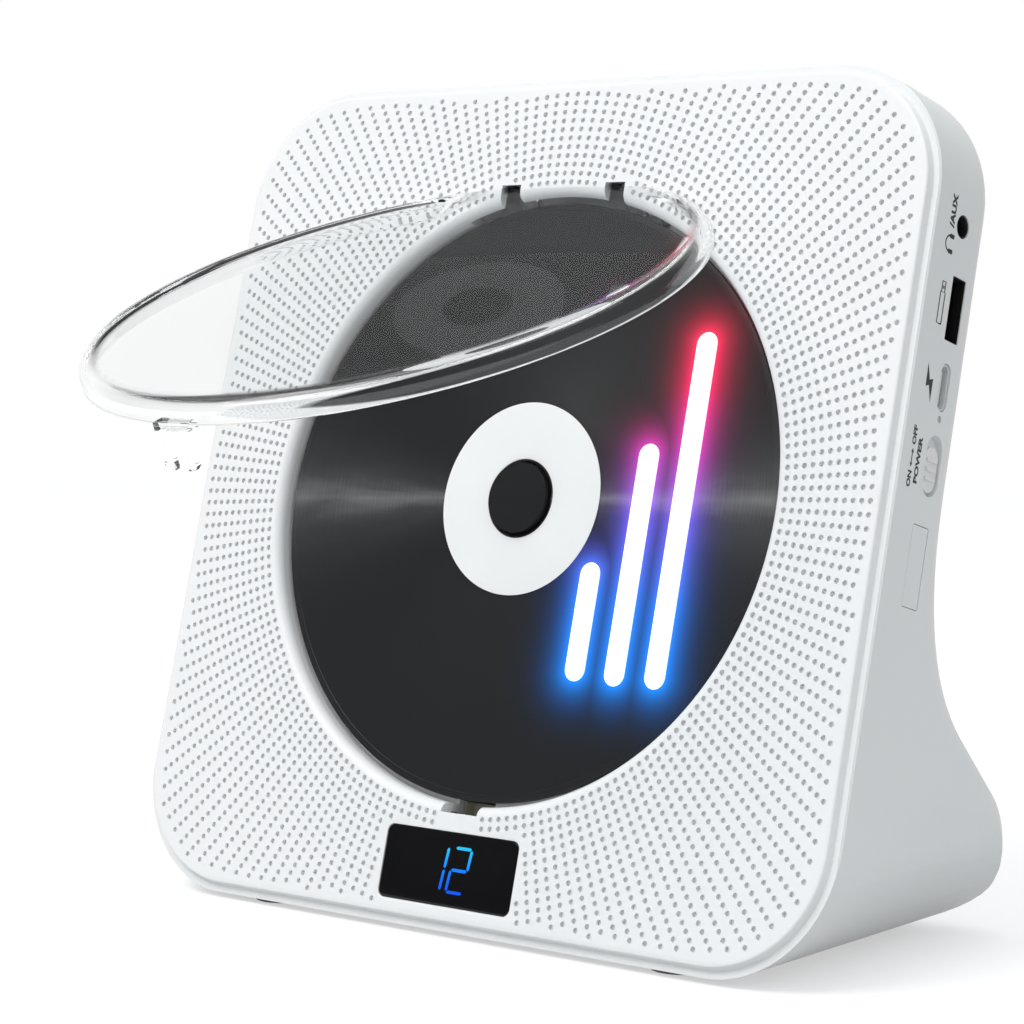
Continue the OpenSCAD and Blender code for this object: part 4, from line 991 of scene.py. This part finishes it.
def case_body(d, front, rim=0.0):
    """Outer form of the case, or its hollow: slab, sweep and foot with rear edges that grow rounder downwards."""
    corner = RIM_HALF - RIM_CORNER
    rows = back_rows(d, front)
    arc_rows = [(math.radians(a), d - NECK_DEPTH, NECK_ROUND) for a in (90 - 90 * i / 14 for i in range(14))]
    shrink = RIM_CORNER - d - (RIM_HALF - SIDE_HALF)

    def chain(inset, height):
        out = []
        for a, low, radius in arc_rows:
            r = shrink - inset(radius)
            out.append((corner + r * math.cos(a), corner + r * math.sin(a), height(low, radius)))
        for v, low, radius in rows:
            out.append((SIDE_HALF - d - (inset(radius) if v > rows[-1][0] else 0), v, max(low, height(low, radius))))
        return out

    def rounding(radius):
        return max(radius - d, 0.8) if radius else 0.0

    chains = [chain(lambda r: rim, lambda low, r: front), chain(lambda r: 0, lambda low, r: front - rim)]
    for i in range(7):
        t = math.pi / 12 * i
        chains.append(chain(lambda r: rounding(r) * (1 - math.cos(t)),
                            lambda low, r: min(low + rounding(r) * (1 - math.sin(t)), front - rim)))
    bm = bmesh.new()
    rings = []
    for points in chains:
        right = loop(bm, points)
        left = loop(bm, [(-x, v, w) for x, v, w in points])
        rings.append(left[::-1] + right)
    for a, b in zip(rings, rings[1:]):
        bridge(bm, a, b, closed=False)
    n = len(rings[-1])
    for i in range(n // 2 - 1):
        bm.faces.new((rings[-1][i], rings[-1][i + 1], rings[-1][n - 2 - i], rings[-1][n - 1 - i]))
    bm.faces.new(rings[0])
    bmesh.ops.remove_doubles(bm, verts=bm.verts, dist=0.0005)
    bmesh.ops.dissolve_degenerate(bm, edges=bm.edges, dist=0.0004)
    return outward(bm)


def foot_outline(d):
    """Prism along the level depth of the part that rounds the foot's lower corners as seen from the front."""
    r = RIM_CORNER * math.cos(LEAN) + 0.3
    x, z = SIDE_HALF - r, BASE_Z + r
    points = arc(x, z, r - d + 0.02, -90, 0, 16)
    points = [(-90.0, 95.0)] + [(-a, b) for a, b in points[::-1]] + points + [(90.0, 95.0)]
    points[0], points[-1] = (-(SIDE_HALF - d + 0.02), 95.0), (SIDE_HALF - d + 0.02, 95.0)
    bm = prism(points, -100, 100)
    return set_out(bm, UPRIGHT @ OUT_OF_TOP)


def slot(length, width, cx=0.0, cy=0.0, steps=10):
    r, h = width / 2, (length - width) / 2
    return arc(cx + h, cy, r, -90, 90, steps) + arc(cx - h, cy, r, 90, 270, steps)


def set_out(bm, way):
    """Turns a cutter drawn flat so that it stands out of the side or the top of the case."""
    bm.transform(way)
    return outward(bm)


def tube_post(r, low, high, u, v, sides=40):
    return prism(arc(u, v, r, 0, 360, sides)[:-1], low, high)


SCREW_PLACES = [(-PANEL_HALF + 10, PANEL_HALF - 16), (PANEL_HALF - 10, PANEL_HALF - 16),
                (-PANEL_HALF + 8, -14.0), (PANEL_HALF - 8, -14.0)]
JACK = (56.2, -11.3)
DATA_V = 40.9
CHARGE_V = 26.4
LIGHT_V = 20.5
SLIDER_V = 11.8
BLANK_V = -7.0
KEY_W = -11.0
KEY_PLACES = {"mode": -36.0, "back": -18.0, "play": 0.0, "forward": 18.0, "stop": 36.0}


def rear_shell():
    """The housing: a hollow case with screw posts, side openings, key slots, a keyhole and the battery hatch."""
    posts = joined(*[tube_post(4.2, -42, -12.2, u, v) for u, v in SCREW_PLACES])
    posts = carved(posts, ("INTERSECT", case_body(1.1, 4)))
    openings = ((arc(*JACK, 2.2, 0, 360, 40)[:-1], SIDE_IN - 1),
                (rounded(6.0, 2.4, 0.3, 4, DATA_V, PORT_W), SIDE_IN - 1),
                (slot(9.0, 3.4, CHARGE_V, PORT_W), SIDE_IN - 1),
                (arc(LIGHT_V, PORT_W, 0.7, 0, 360, 24)[:-1], SIDE_IN - 1),
                (slot(11.4, 5.4, SLIDER_V, PORT_W), RIM_HALF - 1.3),
                (rounded(7.6, 2.8, 0.5, 4, BLANK_V, PORT_W + 0.9), RIM_HALF - 0.8))
    side = [set_out(prism(outline, low, RIM_HALF + 1), OUT_OF_SIDE) for outline, low in openings]
    side += [set_out(prism(slot(12.5, 5.1, u, KEY_W), SIDE_IN - 2, RIM_HALF + 1), OUT_OF_TOP)
             for u in KEY_PLACES.values()]
    side.append(prism(arc(0, 58, 4.6, 118.6, 421.4, 40) + arc(0, 66, 2.2, 0, 180, 12), -22, -17.8))
    side += [tube_post(3.2, -42, -16.5, u, v) for u, v in SCREW_PLACES]
    under = [prism(rounded(42.3, 21.7, 3.0, 8, 0.0, 20.6), BASE_Z - 1, BASE_Z + 1.2)]
    under.append(prism([(-33.5, 3.0), (33.5, 3.0), (33.5, 40.6), (-33.5, 40.6)], BASE_Z + 1.0, BASE_Z + 5))
    under += [tube_post(1.2, BASE_Z + 1.0, BASE_Z + 7, s * 38.4, 22.0, 20) for s in (-1, 1)]
    hollow = carved(case_body(WALL, 4), ("INTERSECT", foot_outline(WALL)))
    screw_bores = joined(*[tube_post(1.7, -17.5, 0, u, v, 24) for u, v in SCREW_PLACES])
    slider_slot = set_out(prism(slot(6.4, 2.4, SLIDER_V, PORT_W), SIDE_IN - 1, RIM_HALF - 1), OUT_OF_SIDE)
    cutters = [joined(*side), screw_bores, slider_slot] + [set_out(cutter, UPRIGHT) for cutter in under]
    bm = carved(case_body(0, -PANEL_STEP, 0.35), ("INTERSECT", foot_outline(0)), ("DIFFERENCE", hollow),
                ("UNION", posts), *(("DIFFERENCE", cutter) for cutter in cutters))
    bmesh.ops.recalc_face_normals(bm, faces=bm.faces)
    piece("rear_shell", bm, "case", "white_shell", side_white, smooth=32, replaces=("rear_housing",))


def key_caps():
    """Five rounded keys along the top, each with its flange and stem."""
    for name, u in KEY_PLACES.items():
        cap = set_out(prism(slot(12.0, 4.6, u, KEY_W, 12), SIDE_IN - 1.8, RIM_HALF + 0.8, 0.45, 4), OUT_OF_TOP)
        flange = set_out(prism(slot(14.0, 6.6, u, KEY_W, 12), SIDE_IN - 2.0, SIDE_IN - 0.4), OUT_OF_TOP)
        stem = set_out(prism(arc(u, KEY_W, 1.6, 0, 360, 24)[:-1], SIDE_IN - 2.5, SIDE_IN - 1.9), OUT_OF_TOP)
        bm = carved(cap, ("UNION", flange), ("UNION", stem))
        piece("key_cap_" + name, bm, "key_" + name, "white_shell", key_white, smooth=35, replaces=("key_" + name,))


# ---------------------------------------------------------------- printed signs beside the ports
def lettering(words, v, w, high, long):
    """Plain letters as a flat mesh in (v, w), fitted to a height and a length."""
    curve = bpy.data.curves.new("letters", "FONT")
    curve.body, curve.size, curve.resolution_u, curve.offset = words, 1.0, 3, 0.05
    holder = bpy.data.objects.new("letters", curve)
    COLLECTION.objects.link(holder)
    mesh = evaluated_mesh(holder)
    bpy.data.objects.remove(holder)
    bpy.data.curves.remove(curve)
    bm = bmesh.new()
    bm.from_mesh(mesh)
    bpy.data.meshes.remove(mesh)

    def fitted(value, values, size):
        return ((value - min(values)) / (max(values) - min(values)) - 0.5) * size

    xs, ys = [p.co.x for p in bm.verts], [p.co.y for p in bm.verts]
    for p in bm.verts:
        p.co = Vector((v + fitted(p.co.x, xs, long), w + fitted(p.co.y, ys, high), 0))
    return bm


def flat(points):
    bm = bmesh.new()
    bm.faces.new(loop(bm, [(x, y, 0) for x, y in points]))
    return bm


def band(points, width):
    """A flat stroke of one width along a line of points."""
    bm = bmesh.new()
    rows = []
    for i, p in enumerate(points):
        a, b = Vector(points[max(i - 1, 0)]), Vector(points[min(i + 1, len(points) - 1)])
        way = (b - a).normalized()
        side = Vector((-way.y, way.x)) * width / 2
        rows.append((bm.verts.new((*(Vector(p) + side), 0)), bm.verts.new((*(Vector(p) - side), 0))))
    for a, b in zip(rows, rows[1:]):
        bm.faces.new((a[0], a[1], b[1], b[0]))
    return bm


def printed_signs():
    """Signs beside the ports: headphones, memory stick, bolt, and the slider's words with a double arrow."""
    v, w = 52.1, -7.3
    signs = [band(arc(v, w - 0.25, 1.45, 0, 180, 14), 0.34)]
    signs += [flat(rounded(0.42, 0.8, 0.25, 4, v + s * 1.4, w - 0.75)) for s in (-1, 1)]
    signs.append(lettering("/AUX", 58.2, -7.4, 1.7, 6.4))
    v, w = 41.1, -7.7
    stick = ((-3.9, -0.8), (-3.9, 0.8), (1.9, 0.8), (1.9, -0.8), (-3.9, -0.8))
    plug = ((1.9, -0.55), (3.9, -0.55), (3.9, 0.55), (1.9, 0.55))
    signs += [band([(v + x, w + y) for x, y in line], 0.34) for line in (stick, plug)]
    signs += [flat([(v + 2.5, w + y), (v + 3.1, w + y), (v + 3.1, w + y + 0.25), (v + 2.5, w + y + 0.25)])
              for y in (-0.3, 0.05)]
    bolt = ((3.5, 1.25), (-0.9, 1.15), (-0.5, 0.05), (-3.5, -1.1), (0.9, -1.15), (0.5, 0.0))
    signs.append(flat([(26.2 + x, y - 7.6) for x, y in bolt]))
    signs += [lettering("ON", 8.0, -5.4, 1.35, 3.0), lettering("OFF", 16.0, -5.4, 1.35, 3.6),
              lettering("POWER", 11.85, -7.6, 1.4, 8.6)]
    signs += [band([(10.7, -5.4), (13.0, -5.4)], 0.3), flat([(10.1, -5.4), (10.9, -5.85), (10.9, -4.95)]),
              flat([(13.6, -5.4), (12.8, -4.95), (12.8, -5.85)])]
    bm = joined(*signs)
    bmesh.ops.triangulate(bm, faces=bm.faces)
    for face in bm.faces:
        face.normal_update()
        if face.normal.z < 0:
            face.normal_flip()
    bm.transform(Matrix.Translation((RIM_HALF, 0, 0)) @ OUT_OF_SIDE)
    piece("printed_signs", bm, "case", "black_plastic", mark_black, smooth=0)


def opening_linings():
    """Dark linings of the headphone hole and the data port, from the sockets to just inside the wall's face."""
    lining = turn([(1.85, 83.35), (2.17, 83.35), (2.17, 85.2), (2.1, 85.3), (1.92, 85.3), (1.85, 85.2)], 48)
    lining.transform(Matrix.Translation((0, *JACK)) @ OUT_OF_SIDE)
    piece("jack_collar", outward(lining), "case", "black_plastic", black_plastic, smooth=40)
    opening = prism(rounded(5.82, 2.22, 0.2, 4, DATA_V, PORT_W), 80, 90)
    sleeve = carved(prism(rounded(5.97, 2.37, 0.3, 4, DATA_V, PORT_W), 83.35, 85.3), ("DIFFERENCE", opening))
    piece("data_port_lining", set_out(sleeve, OUT_OF_SIDE), "case", "black_plastic", black_plastic, smooth=30)


rear_shell()
key_caps()
opening_linings()
printed_signs()


# ---------------------------------------------------------------- floor, light and camera
FLOOR_FADE = (0.45, 1.6)
CAMERA_PLACE = (0.357189, -0.42327, 0.12341)
CAMERA_RIGHT = (0.77834, 0.62784, -0.00031)
CAMERA_UP = (-0.04658, 0.05823, 0.99721)
CAMERA_BACK = (0.62611, -0.77616, 0.07457)
FOCAL_PIXELS = 2916.14
PHOTO_PIXELS = 1024
SENSOR_WIDTH = 36.0
ROOM_FRONT = (0.626, -0.776, 0.075)


def rays_seen(shading):
    """Camera rays, and those together with the rays of gloss and clear plastic."""
    path = shading.add("ShaderNodeLightPath")
    mirrored = shading.math("MAXIMUM", path.outputs["Is Glossy Ray"], path.outputs["Is Transmission Ray"])
    direct = path.outputs["Is Camera Ray"]
    return direct, shading.math("MAXIMUM", direct, mirrored)


def floor():
    """A pale floor that fades to the white of the room."""
    mesh = bpy.data.meshes.new("floor")
    bm = bmesh.new()
    bmesh.ops.create_circle(bm, cap_ends=True, cap_tris=True, segments=96, radius=3.0)
    bm.to_mesh(mesh)
    bm.free()
    f = Finish("floor_pale", (0.8, 0.8, 0.8), 0.6)
    far = f.add("ShaderNodeVectorMath", operation="LENGTH")
    f.link(f.place, far.inputs[0])
    fade = f.smooth_step(far.outputs["Value"], *FLOOR_FADE)
    f.link(f.ramp(fade, [(0.0, (0.55, 0.55, 0.555)), (1.0, (0.0, 0.0, 0.0))]), f.shader.inputs["Base Color"])
    f.link(f.ramp(fade, [(0.0, (0.5, 0.5, 0.5)), (1.0, (1.0, 1.0, 1.0))]), f.shader.inputs["Emission Color"])
    f.link(rays_seen(f)[1], f.shader.inputs["Emission Strength"])
    f.set(f.shader, **{"Specular IOR Level": 0.0})
    mesh.materials.append(f.material)
    obj = bpy.data.objects.new("floor", mesh)
    COLLECTION.objects.link(obj)


def room():
    """Soft light from all round; gloss and clear plastic see a room white behind the part and dark in front of it."""
    world = bpy.data.worlds.new("studio")
    bpy.context.scene.world = world
    w = Shading(world, "ShaderNodeOutputWorld")
    facing = w.add("ShaderNodeVectorMath", operation="DOT_PRODUCT")
    facing.inputs[1].default_value = ROOM_FRONT
    w.link(w.add("ShaderNodeTexCoord").outputs["Generated"], facing.inputs[0])
    direct, seen = rays_seen(w)
    level = w.math("MAXIMUM", w.smooth_step(facing.outputs["Value"], -0.75, -0.3, 1.0, 0.1), direct)
    soft, bright = (w.add("ShaderNodeBackground") for _ in range(2))
    w.set(soft, Color=(0.95, 0.98, 1.0, 1), Strength=0.76)
    w.set(bright, Color=(1, 1, 1, 1))
    w.link(level, bright.inputs["Strength"])
    w.link(w.blended(seen, soft.outputs[0], bright.outputs[0]), w.out.inputs["Surface"])


def lamp(name, place, target, size, power):
    data = bpy.data.lights.new(name, "AREA")
    data.shape = "RECTANGLE"
    data.size, data.size_y = size
    data.energy = power
    obj = bpy.data.objects.new(name, data)
    obj.location = place
    obj.rotation_euler = (Vector(target) - Vector(place)).to_track_quat("-Z", "Y").to_euler()
    COLLECTION.objects.link(obj)


def camera():
    data = bpy.data.cameras.new("photo_view")
    data.sensor_fit = "HORIZONTAL"
    data.sensor_width = SENSOR_WIDTH
    data.lens = FOCAL_PIXELS / PHOTO_PIXELS * SENSOR_WIDTH
    data.clip_start = 0.02
    obj = bpy.data.objects.new("photo_view", data)
    obj.rotation_euler = Matrix((CAMERA_RIGHT, CAMERA_UP, CAMERA_BACK)).transposed().to_euler()
    obj.location = CAMERA_PLACE
    COLLECTION.objects.link(obj)
    bpy.context.scene.camera = obj


floor()
room()
lamp("key_soft", (-0.35, -0.85, 1.25), (0, 0, 0.08), (0.9, 0.7), 12.4)
lamp("top_soft", (0.0, 0.05, 1.3), (0, 0, 0.1), (1.0, 0.8), 2.6)
camera()
bpy.context.scene.view_settings.view_transform = "Standard"
